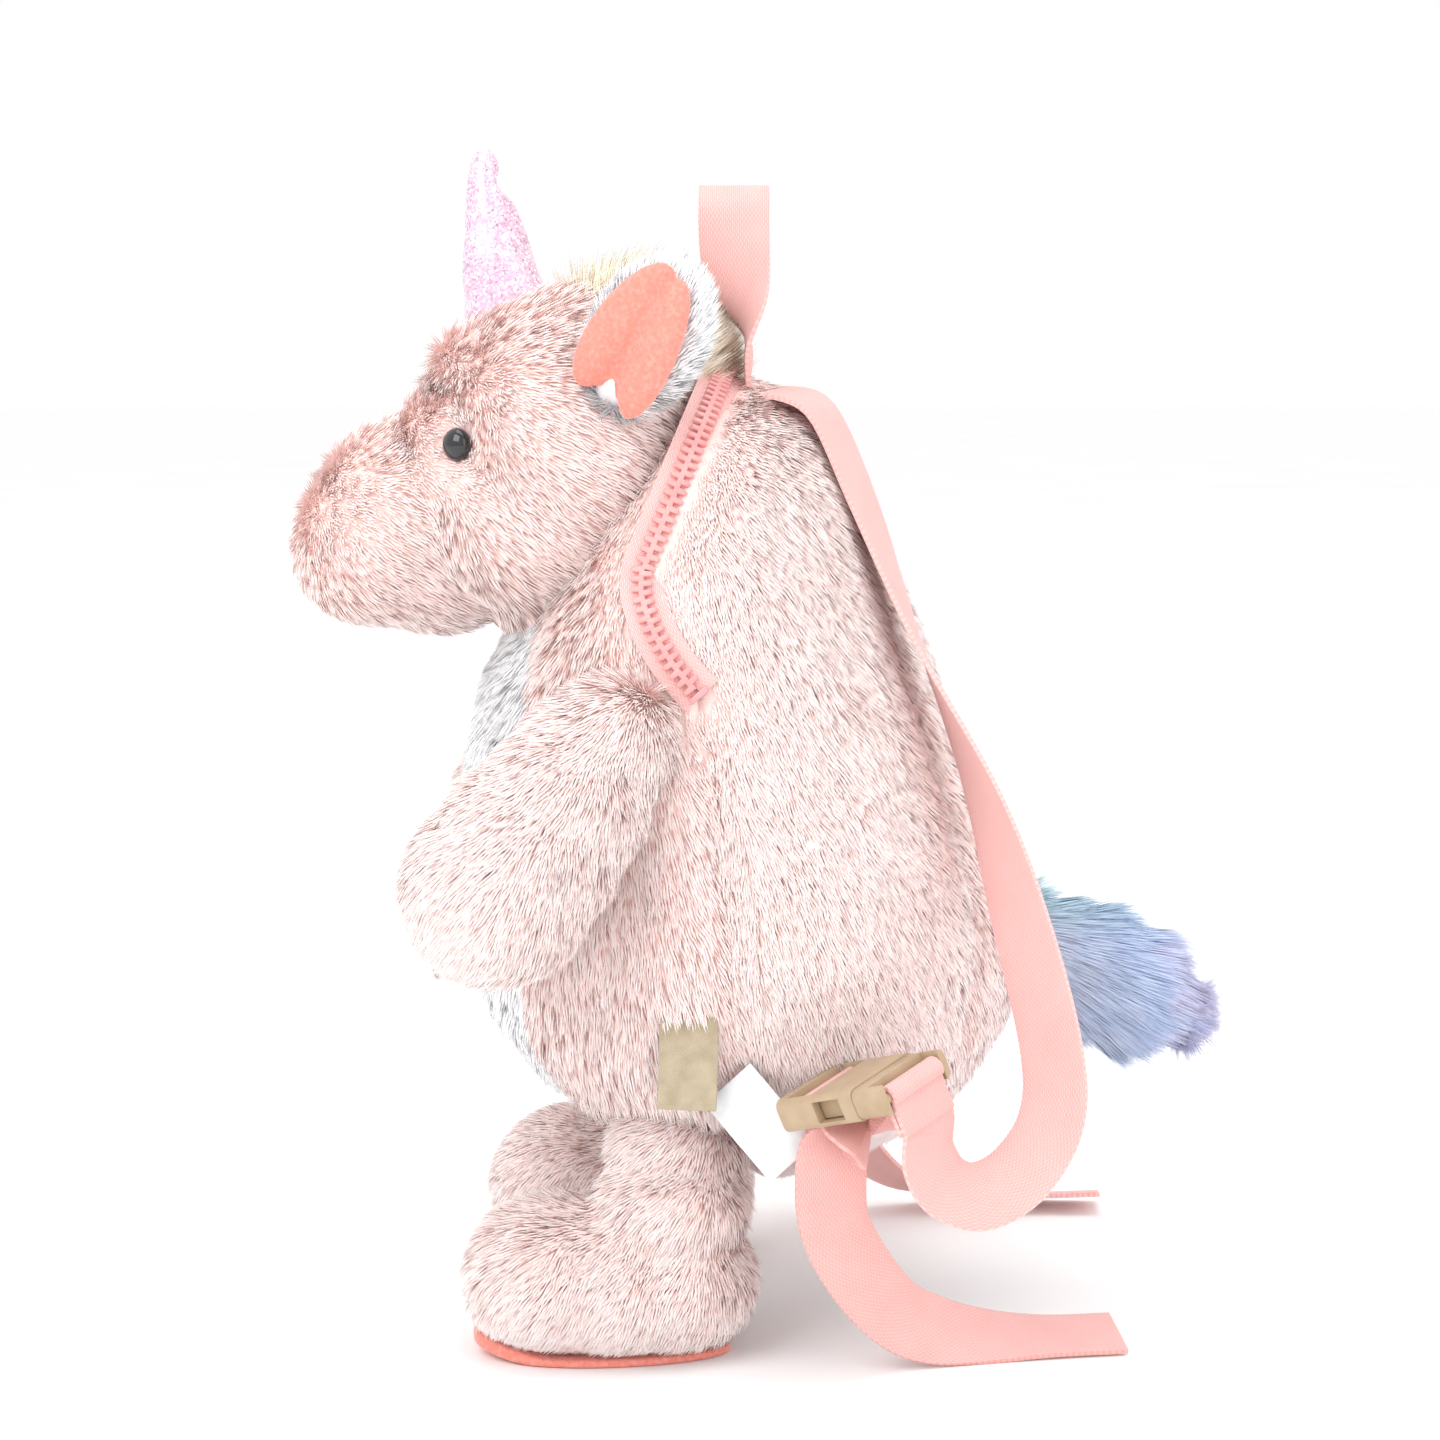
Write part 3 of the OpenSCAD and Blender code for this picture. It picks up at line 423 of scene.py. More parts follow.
def in_mm(co):
    """Points in the frame's metres as millimetres from the bag's own axis."""
    return co / MM + np.array([0, MID_Y, 0])


def move_points(mesh, co):
    mesh.vertices.foreach_set("co", np.ascontiguousarray(co, np.float32).ravel())
    mesh.update()


def lumps(parts, voxel=2.2, rounds=10, mirrored=False):
    """One smooth stuffed form through eggs, each (centre, radii) or (centre, radii, turn about X)."""
    bm = bmesh.new()
    for centre, radii, *turn in parts:
        place = Matrix.Translation(at(*centre)) @ Matrix.Rotation(math.radians(turn[0] if turn else 0), 4, "X")
        size = Matrix.Diagonal((*[r * MM for r in radii], 1))
        bmesh.ops.create_icosphere(bm, subdivisions=4, radius=1, matrix=place @ size)
    if mirrored:
        bmesh.ops.scale(bm, vec=(-1, 1, 1), verts=bm.verts)
        bmesh.ops.reverse_faces(bm, faces=bm.faces)
    return settled(mesh_of(bm), ("REMESH", {"mode": "VOXEL", "voxel_size": voxel * MM}),
                   ("SMOOTH", {"factor": 0.5, "iterations": rounds}))


def ruffle(mesh, amount, size, seed, stretch=(1, 1, 1)):
    """Gives a stuffed form the low, uneven swells of loose filling."""
    co, no = points_of(mesh), normals_of(mesh)
    shift = Vector((seed * 7.3, seed * 3.1, seed * 5.7))
    lift = [noise.noise(Vector((p[0] * stretch[0], p[1] * stretch[1], p[2] * stretch[2])) / (size * MM) + shift)
            for p in co]
    move_points(mesh, co + no * (np.array(lift) * amount * MM)[:, None])


def keep(mesh, name, values):
    """Stores one number or vector for each point."""
    values = np.ascontiguousarray(values, np.float32)
    kind = "FLOAT_VECTOR" if values.ndim == 2 else "FLOAT"
    made = mesh.attributes.new(name, kind, "POINT")
    made.data.foreach_set("vector" if values.ndim == 2 else "value", values.ravel())


def strand_mesh(curl):
    """A tuft of flat strands one unit long that start apart and meet at the tip, a few triangles each."""
    bm = bmesh.new()
    tip_share = bm.verts.layers.float.new("pile")
    for x, y, reach in ((-1.2, 0.3, 1.0), (1.1, 0.7, 0.9), (0.1, -1.2, 0.8)):
        corners = []
        for share, half in ((0, 0.5), (0.55, 0.42)):
            for s in (-1, 1):
                bend = curl * share * share
                v = bm.verts.new((x * (1 - 0.2 * share) + s * half, y * (1 - 0.3 * share) - bend, share * reach))
                v[tip_share] = share
                corners.append(v)
        tip = bm.verts.new((x * 0.7, y * 0.6 - curl, reach))
        tip[tip_share] = 1
        bm.faces.new((corners[1], corners[0], corners[2], corners[3]))
        bm.faces.new((corners[3], corners[2], tip))
    return mesh_of(bm, "strand")


def pile_tree(strand, p):
    """Nodes that spread strands over a skin, lean them the way its pile is combed and turn them to meshes."""
    tree = bpy.data.node_groups.new("pile", "GeometryNodeTree")
    for way in ("INPUT", "OUTPUT"):
        tree.interface.new_socket("Geometry", in_out=way, socket_type="NodeSocketGeometry")
    skin, out = tree.nodes.new("NodeGroupInput"), tree.nodes.new("NodeGroupOutput")

    def read(name, kind):
        return add(tree, "GeometryNodeInputNamedAttribute", {"Name": name}, data_type=kind).outputs[0]

    def rand(low, high, seed):
        return add(tree, "FunctionNodeRandomValue", {2: low, 3: high, "Seed": p["seed"] + seed}).outputs[1]

    def vmath(way, a, b=None, scale=None):
        links = {0: a}
        if b is not None:
            links[1] = b
        if scale is not None:
            links["Scale"] = scale
        return add(tree, "ShaderNodeVectorMath", links, operation=way).outputs[0]

    def store(geometry, name, value, kind, **more):
        links = {"Geometry": geometry, "Name": name, "Value": value}
        return add(tree, "GeometryNodeStoreNamedAttribute", links, data_type=kind, **more).outputs[0]

    thick = add(tree, "ShaderNodeMath", {0: read("cover", "FLOAT"), 1: p["density"]}, operation="MULTIPLY")
    spread = add(tree, "GeometryNodeDistributePointsOnFaces",
                 {"Mesh": skin.outputs[0], "Density": thick.outputs[0], "Seed": p["seed"]})
    outward = spread.outputs["Normal"]
    swirl = add(tree, "ShaderNodeTexNoise", {"Scale": 1 / (p["swirl_mm"] * MM), "Detail": 1.0}).outputs["Color"]
    swirl = vmath("SCALE", vmath("SUBTRACT", swirl, (0.5, 0.5, 0.5)), scale=p["swirl"])
    stray = add(tree, "FunctionNodeRandomValue", {0: (-1, -1, -1), 1: (1, 1, 1), "Seed": p["seed"] + 9},
                data_type="FLOAT_VECTOR").outputs[0]
    way = vmath("ADD", vmath("SCALE", outward, scale=p["lift"]), vmath("SCALE", read("comb", "FLOAT_VECTOR"),
                                                                      scale=p["lay"]))
    way = vmath("ADD", vmath("ADD", way, swirl), vmath("SCALE", stray, scale=p["stray"]))
    turned = add(tree, "FunctionNodeAlignRotationToVector", {"Vector": way}, axis="Z").outputs[0]
    turned = add(tree, "FunctionNodeAlignRotationToVector", {"Rotation": turned, "Vector": outward}, axis="Y",
                 pivot_axis="Z").outputs[0]
    spin = add(tree, "FunctionNodeAxisAngleToRotation",
               {"Axis": (0, 0, 1), "Angle": rand(-0.8, 0.8, 3)}).outputs[0]
    turned = add(tree, "FunctionNodeRotateRotation", {0: turned, 1: spin}, rotation_space="LOCAL").outputs[0]
    patch = add(tree, "ShaderNodeTexNoise", {"Scale": 1 / (9 * MM), "Detail": 1.0}).outputs[0]
    longer = maths(tree, "MULTIPLY_ADD", patch, 0.4, 0.8)
    longer = maths(tree, "MULTIPLY", longer, rand(0.8, 1.12, 4))
    longer = maths(tree, "MULTIPLY", longer, read("reach", "FLOAT"))
    tall = maths(tree, "MULTIPLY", longer, p["length"] * MM)
    size = add(tree, "ShaderNodeCombineXYZ", {0: p["width"] * MM, 1: p["width"] * MM, 2: tall}).outputs[0]
    held = store(spread.outputs[0], "shade", rand(0, 1, 5), "FLOAT")
    held = store(held, "root_normal", outward, "FLOAT_VECTOR")
    source = add(tree, "GeometryNodeObjectInfo", {"Object": strand}).outputs["Geometry"]
    made = add(tree, "GeometryNodeInstanceOnPoints", {"Points": held, "Instance": source, "Rotation": turned,
                                                      "Scale": size}).outputs[0]
    made = add(tree, "GeometryNodeRealizeInstances", {"Geometry": made}).outputs[0]
    own = add(tree, "GeometryNodeInputNormal").outputs[0]
    soft = vmath("ADD", vmath("SCALE", own, scale=p["crisp"]), read("root_normal", "FLOAT_VECTOR"))
    made = add(tree, "GeometryNodeSetMeshNormal", {"Mesh": made, "Custom Normal": vmath("NORMALIZE", soft)},
               mode="FREE").outputs[0]
    place = add(tree, "ShaderNodeCombineXYZ", {0: read("shade", "FLOAT"), 1: read("pile", "FLOAT")}).outputs[0]
    made = store(made, "OFBake", place, "FLOAT2", domain="CORNER")
    tree.links.new(made, out.inputs[0])
    return tree


PILE = {"width": 0.46, "lift": 0.66, "lay": 0.95, "swirl": 0.62, "swirl_mm": 11, "stray": 0.12,
        "crisp": 0.14, "curl": 0.12, "strands": 48000, "seed": 1}


def pile(name, skin, finish_name, body, slot, comb=(0, 0, -1), cover=None, reach=None, **changes):
    """Fur on a copy of a skin: comb is how its strands lean, cover where they grow, reach how long."""
    p = {**PILE, "length": SIZES().pile_length / MM, **changes}
    mesh = skin.copy()
    n = len(mesh.vertices)
    keep(mesh, "cover", np.ones(n) if cover is None else cover)
    keep(mesh, "reach", np.ones(n) if reach is None else reach)
    no = normals_of(mesh)
    lean = np.broadcast_to(np.asarray(comb, float), (n, 3))
    lean = lean - no * (lean * no).sum(1)[:, None]
    keep(mesh, "comb", lean / np.maximum(np.linalg.norm(lean, axis=1), 0.25)[:, None])
    strand = bpy.data.objects.new("strand", strand_mesh(p["curl"] * p["length"] / p["width"]))
    area = sum(f.area for f in mesh.polygons)
    share = np.mean(cover) if cover is not None else 1
    tufts = SIZES().strands_share * p["strands"] / 3
    p["density"] = tufts / (area * max(share, 0.1))
    made = settled(mesh, ("NODES", {"node_group": pile_tree(strand, p)}))
    bpy.data.objects.remove(strand)
    for extra in [a.name for a in made.attributes if a.name in ("root_normal", "cover", "reach", "comb")]:
        made.attributes.remove(made.attributes[extra])
    return show(name, made, finish_name, body)


def web_w():
    """The webbing's width in mm."""
    return SIZES().webbing_width / MM


def ribbon_mesh(route, width, thick, steps=6):
    """Webbing along a route of (point, way its width lies) pairs in mm, with a map in mm called weave."""
    pts = curve_through([r[0] for r in route], steps)
    ways = curve_through([Vector(r[1]).normalized() for r in route], steps)
    far = [0.0]
    for a, b in zip(pts, pts[1:]):
        far.append(far[-1] + (b - a).length)
    bm = bmesh.new()
    across = 6
    bmesh.ops.create_grid(bm, x_segments=across, y_segments=len(pts) - 1, size=0.5)
    uv = bm.loops.layers.uv.new("weave")
    last = len(pts) - 1
    for f in bm.faces:
        for loop in f.loops:
            loop[uv].uv = ((loop.vert.co.x + 0.5) * width, far[round((loop.vert.co.y + 0.5) * last)])
    for v in bm.verts:
        i, u = round((v.co.y + 0.5) * last), v.co.x
        along = (pts[min(i + 1, last)] - pts[max(i - 1, 0)]).normalized()
        side = (ways[i] - along * ways[i].dot(along)).normalized()
        v.co = at(*(pts[i] + side * (u * width)))
    mesh = mesh_of(bm)
    made = settled(mesh, ("SOLIDIFY", {"thickness": thick * MM, "offset": 0.0}),
                   ("BEVEL", {"width": 0.25 * thick * MM, "segments": 2, "limit_method": "ANGLE"}))
    return made, far[-1]


def fine_copy(node, bevel, segments=2):
    """A CAD node's mesh with its points merged and its sharp edges rounded over, in mm."""
    bm = bmesh.new()
    bm.from_mesh(frame["nodes"][node].data)
    bmesh.ops.remove_doubles(bm, verts=bm.verts, dist=1e-5)
    bmesh.ops.dissolve_limit(bm, angle_limit=0.02, verts=bm.verts, edges=bm.edges)
    sharp = [e for e in bm.edges if len(e.link_faces) == 2 and e.calc_face_angle(0) > 0.5]
    bmesh.ops.bevel(bm, geom=sharp, offset=bevel * MM, segments=segments, profile=0.5, affect="EDGES",
                    material=-1, clamp_overlap=True)
    bmesh.ops.recalc_face_normals(bm, faces=bm.faces)
    return mesh_of(bm)


# ---------------------------------------------------------------- pieces


def zip_point(a, r=ZIP_R):
    return ZIP_C + Vector((math.sin(a), 0, 0)) * r + ZIP_UP * (math.cos(a) * r)


def zip_stations(pitch, offset=0.0):
    """Places along the zip, from its right end over the neck and down the left side: point, along, out."""
    arch = ZIP_R * 2 * ZIP_HALF
    end = zip_point(ZIP_HALF)
    run = curve_through([end, *[(bag_x(y, z) + 0.3, y, z) for y, z in SIDE_RUN]], 12)
    far = [0.0]
    for a, b in zip(run, run[1:]):
        far.append(far[-1] + (b - a).length)
    total, d, out = arch + far[-1], offset, []
    while d < total:
        if d < arch:
            a = -ZIP_HALF + d / ZIP_R
            along = Vector((math.cos(a), 0, 0)) - ZIP_UP * math.sin(a)
            out.append((zip_point(a), along, Vector((math.sin(a), 0, 0)) + ZIP_UP * math.cos(a)))
        else:
            k = max(i for i in range(len(run) - 1) if far[i] <= d - arch)
            along = (run[k + 1] - run[k]).normalized()
            p = run[k] + along * (d - arch - far[k])
            across = Vector((1, -0.2, 0.15)).cross(along).normalized()
            out.append((p, along, along.cross(across)))
        d += pitch
    return out


FAR = 99  # a distance in mm for points out of a seam's reach


def near_zip(mm):
    """How far each point in mm is from the zip's middle line, across its tapes."""
    q = mm - np.array(ZIP_C)
    over = q @ np.array(ZIP_UP)
    across = np.abs(q @ np.array(ZIP_AXIS))
    at_arch = (np.hypot(q[:, 0], over) > 35) & (np.arctan2(np.abs(q[:, 0]), over) < ZIP_HALF + 0.05)
    away = np.where(at_arch, across, FAR)
    for p, *_ in zip_stations(2.0):
        if p[2] < zip_point(ZIP_HALF)[2] + 1:
            away = np.minimum(away, np.linalg.norm(mm - np.array(p), axis=1))
    return away


def bag_skin():
    """The bag's whole outside, finely divided, with its seams drawn in and its cloth in soft folds."""
    bm = bmesh.new()
    bmesh.ops.create_uvsphere(bm, u_segments=112, v_segments=96, radius=1)
    for v in bm.verts:
        share = 0.5 * (1 + max(-1.0, min(1.0, v.co.z)))
        z = BAG_Z + BAG_H * share
        turn, level = math.atan2(v.co.x, v.co.y), math.hypot(v.co.x, v.co.y)
        keep_out = 1 if level > 1e-4 else 0
        front, back = BAG_D * float(bag_col(z, 1)), BAG_D * float(bag_col(z, 2))
        half = BAG_W / 2 * float(bag_col(z, 3))
        y = (front + back) / 2 + (back - front) / 2 * math.cos(turn) * keep_out
        v.co = at(half * math.sin(turn) * keep_out, y, z)
    cuts = [((0, y, z), (0, 0, 1)) for y, z in SEAM] + [((0, 0, 0), (1, -BACK_SEAM * s, 0)) for s in (-1, 1)]
    for point, way in cuts:
        bmesh.ops.bisect_plane(bm, geom=bm.verts[:] + bm.edges[:] + bm.faces[:], dist=1e-6,
                               plane_co=at(*point), plane_no=way)
    return settled(mesh_of(bm), ("SMOOTH", {"factor": 0.5, "iterations": 6}))


def seam_y(z):
    return np.interp(z, [s[1] for s in SEAM], [s[0] for s in SEAM])


BELLY_HALF = 46  # half the width of the white patch on the chest, in mm


def zone_of(mm):
    """Which panel each point in mm belongs to: 0 front, 1 back, 2 left side, 3 right side, 4 belly."""
    x, y, z = mm.T
    belly = (x / BELLY_HALF) ** 2 + ((z - 139) / 85) ** 2 < 1
    front = y < seam_y(z)
    back = (y > 0) & (np.abs(x) < BACK_SEAM * y)
    return np.where(front, np.where(belly & (y < 0), 4, 0), np.where(back, 1, np.where(x > 0, 2, 3)))


def seam_gap(mm):
    """How far each point in mm is from the nearest of the bag's seams."""
    x, y, z = mm.T
    side = np.abs(y - seam_y(z))
    back = np.where(y > 0, np.abs(np.abs(x) - BACK_SEAM * y) / math.hypot(1, BACK_SEAM), FAR)
    back = np.where(y > seam_y(z), back, FAR)
    belly = np.where(y < 0, np.abs(np.sqrt((x / BELLY_HALF) ** 2 + ((z - 139) / 85) ** 2) - 1) * 45, FAR)
    return np.minimum(np.minimum(side, back), belly)


PANELS = (("front_panel", 0, "pink", 15000, 4), ("back_panel", 1, "pink", 12500, 5),
          ("side_panel_left", 2, "pink", 18500, 6), ("side_panel_right", 3, "pink", 15000, 7),
          ("belly_patch", 4, "white", 11500, 8))


SEAM_DEPTH, SEAM_HALF = 3.2, 5.0  # how far and how wide each seam is drawn in, in mm
FOLDS, RIPPLES = 4.0, 1.4  # the height of the cloth's wide and narrow folds, in mm


def build_bag():
    """The bag's five cloth panels, each with its pile, round the stuffing and the compartment."""
    skin = bag_skin()
    co, no = points_of(skin), normals_of(skin)
    mm = in_mm(co)
    gap = seam_gap(mm)
    press = -SEAM_DEPTH * np.exp(-((gap / SEAM_HALF) ** 2))
    folds = [noise.noise(Vector((p[0] / 0.045, p[1] / 0.03, p[2] / 0.07)) + Vector((3, 1, 4))) for p in co]
    small = [noise.noise(Vector((p[0] / 0.02, p[1] / 0.02, p[2] / 0.03)) + Vector((9, 2, 6))) for p in co]
    zip_gap = near_zip(mm)
    lift = (np.array(folds) * FOLDS + np.array(small) * RIPPLES) * ease(zip_gap, 10, 26)
    lift += press * ease(zip_gap, 8, 14)
    lift -= 1.2 * (1 - ease(zip_gap, 9, 13))
    low = ease(mm[:, 2], 150, 215)
    lift = np.clip(lift, -2.6, 3.5) * (1 - 0.5 * low)
    move_points(skin, co + no * (lift * MM)[:, None])
    mm = in_mm(points_of(skin))
    centres = np.empty(len(skin.polygons) * 3, np.float32)
    skin.polygons.foreach_get("center", centres)
    zones = zone_of(in_mm(centres.reshape(-1, 3)))
    for name, zone, kind, tufts, seed in PANELS:
        bm = bmesh.new()
        bm.from_mesh(skin)
        bm.faces.ensure_lookup_table()
        bmesh.ops.delete(bm, geom=[f for f in bm.faces if zones[f.index] != zone], context="FACES")
        panel = mesh_of(bm)
        here = in_mm(points_of(panel))
        away, seams = near_zip(here), seam_gap(here)
        cover = ease(away, 5.4, 6.8) * (0.5 + 0.5 * ease(seams, 0, 3))
        reach = (0.5 + 0.5 * ease(away, 8, 20)) * (0.75 + 0.25 * ease(seams, 0, 7))
        comb = (0, 0 if kind == "white" else 0.35, -1)
        pile(f"{name}_pile", panel, f"{kind}_pile", "bag", f"{kind}_plush", comb, cover, reach,
             strands=tufts * 3, seed=seed)
        cloth = settled(panel, ("SOLIDIFY", {"thickness": 1.5 * MM, "offset": -1.0}))
        ob = show(f"{name}_cloth", cloth, f"{kind}_backing", "bag", [name])
    bpy.data.meshes.remove(skin)


def fibre(mesh, node, body):
    """Loose fibre that fills a stuffed cover, just inside its cloth."""
    core = mesh.copy()
    move_points(core, points_of(core) - normals_of(core) * 2.6 * MM)
    show(f"{node}_fill", core, "fibre", body, [node])


HEAD_LUMPS = [
    ((0, -44, 250), (54, 41.7, 45)), ((0, -40, 262), (44, 36, 34)), ((0, -98, 223.5), (36, 24, 24)),
    ((0, -88, 232), (35, 28, 24), -30), ((0, -70, 244), (41, 26, 30)), ((0, -62, 266), (34, 22, 22)),
    ((24, -52, 234), (27, 31, 27)), ((-24, -52, 234), (27, 31, 27)), ((0, -28, 224), (45, 44, 42)),
    ((0, -84, 218), (31, 26, 20)),
]
EYE_AT = (37.4, -73, 252.3)


EYE_DENT, EYE_DENT_HALF = 4.0, 9  # how far and how wide the cloth is drawn in round each eye, in mm


def eye_gap(mm):
    """How far each point in mm is from the nearest eye."""
    eyes = [np.array([EYE_AT[0] * s, EYE_AT[1], EYE_AT[2]]) for s in (-1, 1)]
    return np.minimum(*[np.linalg.norm(mm - eye, axis=1) for eye in eyes])


def build_head():
    """The head's plush cover, from muzzle to neck."""
    mesh = lumps(HEAD_LUMPS, 2.2, 14)
    ruffle(mesh, 2.2, 28, 3)
    co, no = points_of(mesh), normals_of(mesh)
    lift = -EYE_DENT * np.exp(-((eye_gap(in_mm(co)) / EYE_DENT_HALF) ** 2))
    move_points(mesh, co + no * (lift * MM)[:, None])
    mm = in_mm(points_of(mesh))
    eyes = eye_gap(mm)
    reach = (0.5 + 0.5 * ease(eyes, 6, 16)) * (0.75 + 0.25 * ease(mm[:, 1], -110, -70))
    cover = ease(eyes, 4.4, 5.6)
    pile("head_pile", mesh, "pink_pile", "head", "pink_plush", (0, 0.9, -0.55), cover, reach,
         strands=61000, seed=20)
    fibre(mesh, "head_stuffing", "head")
    ob = show("head_cloth", mesh, "pink_backing", "head", ["head_cover"])


WASHER_R, WASHER_T, WASHER_BACK = 6.5, 1.6, 8  # the eye's washer: radius, thickness, place behind the eye


def build_eyes():
    """Polished eyes, each with a small flange against the cloth."""
    for side, s in SIDES.items():
        bm = bmesh.new()
        bmesh.ops.create_uvsphere(bm, u_segments=48, v_segments=32, radius=SIZES().eye_width / 2)
        bmesh.ops.scale(bm, vec=(1, 1, 0.72), verts=bm.verts)
        turn = Matrix.Rotation(math.radians(-42 * s), 4, "Z") @ Matrix.Rotation(math.radians(90 * s), 4, "Y")
        place = Matrix.Translation(at(EYE_AT[0] * s, EYE_AT[1], EYE_AT[2])) @ turn
        bmesh.ops.transform(bm, matrix=place, verts=bm.verts)
        show(f"eye_{side}_dome", mesh_of(bm), "eye", "head", [f"eye_{side}"])
        bm = bmesh.new()
        bmesh.ops.create_cone(bm, cap_ends=True, segments=48, radius1=WASHER_R * MM, radius2=WASHER_R * MM,
                              depth=WASHER_T * MM)
        bmesh.ops.inset_region(bm, faces=[f for f in bm.faces if len(f.verts) > 4], thickness=2.5 * MM,
                               depth=-0.4 * MM)
        behind = Matrix.Translation((0, 0, -WASHER_BACK * MM))
        bmesh.ops.transform(bm, matrix=place @ behind, verts=bm.verts)
        show(f"eye_washer_{side}_ring", mesh_of(bm), "washer", "head", [f"eye_washer_{side}"])


HORN_Z, HORN_L = 286, 51.5  # the horn's foot over the floor and its length, in mm


def build_horn():
    """The horn: a stuffed cone of glitter cloth with a seam and a few dents, leaning ahead a little."""
    bm = bmesh.new()
    rings = 40
    bmesh.ops.create_cone(bm, cap_ends=True, segments=56, radius1=1, radius2=1, depth=1)
    bmesh.ops.subdivide_edges(bm, edges=[e for e in bm.edges if abs(e.verts[0].co.z - e.verts[1].co.z) > 0.5],
                              cuts=rings - 1)
    for v in bm.verts:
        t = v.co.z + 0.5
        a = math.atan2(v.co.x, v.co.y)
        r = 10.6 * (1 - t) ** 0.82 + 2.6 * min(1, (1 - t) * 9) ** 0.5
        uneven = noise.noise(Vector((math.sin(a) * 1.4, math.cos(a) * 1.4, t * 4)))
        r *= 1 + 0.07 * math.sin(a * 2 + t * 5.5) * (1 - t) + 0.10 * uneven
        if v.co.xy.length < 0.5:
            r = 0
        lean = -69.5 + 9.0 * (1 - t) ** 1.1
        dent = -2.6 * math.exp(-((t - 0.78) / 0.07) ** 2) * max(0, math.cos(a))
        v.co = at(math.sin(a) * r, lean + math.cos(a) * (r + dent) + 1.5 * t, HORN_Z + t * HORN_L)
    bmesh.ops.recalc_face_normals(bm, faces=bm.faces)
    mesh = settled(mesh_of(bm), ("SMOOTH", {"factor": 0.5, "iterations": 2}),
                   ("SUBSURF", {"levels": 1, "render_levels": 1}))
    ob = show("horn_cloth", mesh, "glitter", "head", ["horn_cover"])


EAR_AT = (51, -30, 266)


def ear_place(s):
    """The ear's own frame at its base: across, towards the tip, and out of its open face."""
    tip = Vector((0.18 * s, 0.5, 0.85)).normalized()
    face = Vector((0.93 * s, -0.28, 0.10))
    face = (face - tip * face.dot(tip)).normalized()
    turn = Matrix((tip.cross(face), tip, face)).transposed().to_4x4()
    return Matrix.Translation(at(EAR_AT[0] * s, EAR_AT[1], EAR_AT[2])) @ turn


def ear_form(s, eggs, voxel):
    """A smooth form through eggs in the ear's frame: centre, radii, turns about its length and face."""
    bm = bmesh.new()
    for centre, radii, fold, fan in eggs:
        turn = Matrix.Rotation(math.radians(fan), 4, "Z") @ Matrix.Rotation(math.radians(fold), 4, "Y")
        size = Matrix.Diagonal((*[r * MM for r in radii], 1))
        m = ear_place(s) @ Matrix.Translation(Vector(centre) * MM) @ turn @ size
        bmesh.ops.create_icosphere(bm, subdivisions=4, radius=1, matrix=m)
    return settled(mesh_of(bm), ("REMESH", {"mode": "VOXEL", "voxel_size": voxel * MM}),
                   ("SMOOTH", {"factor": 0.5, "iterations": 3}))


def build_ears():
    """Each ear: two padded velour lips with a deep fold between them, in a white pile back."""
    for side, s in SIDES.items():
        lips = ear_form(s, [((-5.4, 19, 3.4), (8.6, 21, 5.4), 32, -8),
                            ((5.4, 18, 3.4), (8.6, 20.5, 5.4), -32, 8),
                            ((0, 18.5, 1.0), (11, 19, 4.0), 0, 0)], 0.9)
        ob = show(f"ear_{side}_lips", lips, "coral", f"ear_{side}", [f"ear_lining_{side}"])
        back = ear_form(s, [((0, 19, -3), (15, 21, 6.5), 0, 0), ((0, 6, -3), (9, 10, 7), 0, 0)], 1.6)
        inward = ear_place(s).inverted()
        ahead = np.array([(inward @ Vector(p)).z for p in points_of(back)]) / MM
        pile(f"ear_{side}_pile", back, "white_pile", f"ear_{side}", "white_plush", (0, 0.5, 0.85),
             1 - ease(ahead, -1.0, 1.5), strands=12000, seed=30 + (s > 0), length=6, lift=0.8, lay=0.7)
        ob = show(f"ear_{side}_cloth", back, "white_backing", f"ear_{side}",
                  [f"ear_back_{side}"])


def build_mane():
    """The tuft of long cream pile between the ears."""
    mesh = lumps([((0, -24, 283), (17, 19, 13)), ((0, -14, 272), (15, 11, 18))], 1.8, 6)
    pile("mane_pile", mesh, "mane_pile", "head", "mane_plush", (0, 0.6, 0.6), strands=16000, seed=40, length=16,
         lift=0.7, lay=0.6)
    ob = show("mane_cloth", mesh, "white_backing", "head", ["forelock"])


ARM_OUT = Vector((0.8718, -0.4209, 0.2505))
ARM_DOWN = Vector((-0.006, -0.52, -0.854)).normalized()
SHOULDER = Vector((70.71, -18, 183))


def build_arms():
    """Each arm: a stuffed tube that hangs from the shoulder and fills out towards its paw."""
    for side, s in SIDES.items():
        parts = [((76, -30, 174), (16.5, 17, 17)), ((78.5, -36, 167), (18, 19.5, 19.5))]
        for down, out, r in ((34, 14, 21.5), (48, 18, 23.5), (62, 20, 24.5)):
            parts.append((tuple(SHOULDER + ARM_DOWN * down + ARM_OUT * out), (r, r, r)))
        mesh = lumps(parts, 2.2, 8, mirrored=s < 0)
        ruffle(mesh, 2.0, 24, 5 + s)
        pile(f"arm_{side}_pile", mesh, "pink_pile", f"arm_{side}", "pink_plush", (0, -0.55, -0.8),
             strands=43000, seed=50 + (s > 0))
        fibre(mesh, f"arm_stuffing_{side}", f"arm_{side}")
        ob = show(f"arm_{side}_cloth", mesh, "pink_backing", f"arm_{side}", [f"arm_cover_{side}"])


FOOT_X = 56
SOLE_Y, SOLE_HALF = -33, 36  # the sole pad's middle and half length, in mm


